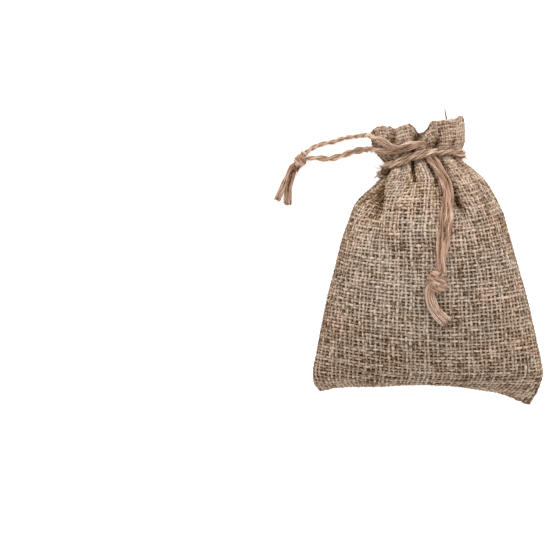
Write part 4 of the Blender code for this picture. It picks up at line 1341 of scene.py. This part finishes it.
def body_cloth(grid, facing):
    """The closed inner form, a dark sheet painted as the shade that shows between the yarns."""
    form = (grid - facing * BASE_INSET)[::2, ::2]
    rows, ring = form.shape[:2]
    count = rows * ring
    index = np.arange(count).reshape(rows, ring)
    sides = [index[:-1], np.roll(index[:-1], -1, 1), np.roll(index[1:], -1, 1), index[1:]]
    faces = np.stack(sides, -1).reshape(-1, 4).tolist()
    half = ring // 2
    for loop, order in ((index[0], -1), (index[-1], 1)):
        ends = [[loop[0], loop[1], loop[-1]], [loop[half], loop[half + 1], loop[half - 1]]]
        ends += [[loop[i], loop[i + 1], loop[-i - 1], loop[-i]] for i in range(1, half - 1)]
        faces += [[int(v) for v in face[::order]] for face in ends]
    rng = np.random.default_rng(BASE_SEED)
    shade = BASE_PAINTED_SHADE + rng.normal(0.0, BASE_GRAIN, count)
    shade += painted_light(form, CLOTH_PAINTED_LIGHT).ravel() + MIDDLE_SHADE * middle_share(form).ravel()
    shade -= HOLLOW_PAINTED_SHADE * (np.arange(count) > HOLLOW_ROW // 2 * ring)
    tint = warm_part(form).ravel() + rng.uniform(-BASE_TINT_SPREAD, BASE_TINT_SPREAD, count)
    return add_piece("sack_body", form, faces, "burlap", shade, tint)


# ---------------------------------------------------------------------------------------------
# Floor, light and camera.

CAMERA_CENTRE = (-66.4, -9.1)
CAMERA_HEIGHT = 950.0
# The picture's width at the level where it is measured.
FRAME_WIDTH = 252.0
FRAME_LEVEL = 12.0
SENSOR_WIDTH = 36.0
# The lamps: (place in metres, size, watts).
LAMPS = {
    "key": ((0.08, 0.70, 0.80), 0.7, 7.5),
    "fill": ((-0.6, -0.2, 0.9), 0.9, 1.5),
}
SKY_STRENGTH = 0.52
FLOOR_REACH = 3.0


def lay_floor():
    corners = [(x * FLOOR_REACH, y * FLOOR_REACH, 0) for x, y in ((-1, -1), (1, -1), (1, 1), (-1, 1))]
    mesh = bpy.data.meshes.new("floor")
    mesh.from_pydata(corners, [], [(0, 1, 2, 3)])
    mesh.materials.append(floor_material())
    floor = bpy.data.objects.new("floor", mesh)
    bpy.context.scene.collection.objects.link(floor)


def light_up():
    world = bpy.data.worlds.new("studio")
    world.use_nodes = True
    sky = world.node_tree.nodes["Background"]
    sky.inputs["Color"].default_value = WHITE
    sky.inputs["Strength"].default_value = SKY_STRENGTH
    bpy.context.scene.world = world
    for name, (place, size, power) in LAMPS.items():
        lamp = bpy.data.lights.new(name, "AREA")
        lamp.shape = "DISK"
        lamp.size = size
        lamp.energy = power
        light = bpy.data.objects.new(name, lamp)
        light.location = place
        light.rotation_euler = (-Vector(place)).to_track_quat("-Z", "Y").to_euler()
        bpy.context.scene.collection.objects.link(light)
    bpy.context.scene.view_settings.view_transform = "Standard"


def overhead_camera():
    data = bpy.data.cameras.new("camera")
    data.sensor_fit = "HORIZONTAL"
    data.sensor_width = SENSOR_WIDTH
    data.lens = SENSOR_WIDTH * (CAMERA_HEIGHT - FRAME_LEVEL) / FRAME_WIDTH
    camera = bpy.data.objects.new("camera", data)
    camera.location = (CAMERA_CENTRE[0] * MM, CAMERA_CENTRE[1] * MM, CAMERA_HEIGHT * MM)
    bpy.context.scene.collection.objects.link(camera)
    bpy.context.scene.camera = camera


def main():
    overhead_camera()
    lay_floor()
    light_up()
    cords()
    grid, facing, depths = cloth_grid()
    weave(grid, facing, depths)
    cloth_hairs(grid, facing)
    stray_threads()
    body = body_cloth(grid, facing)
    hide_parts("sack")


main()
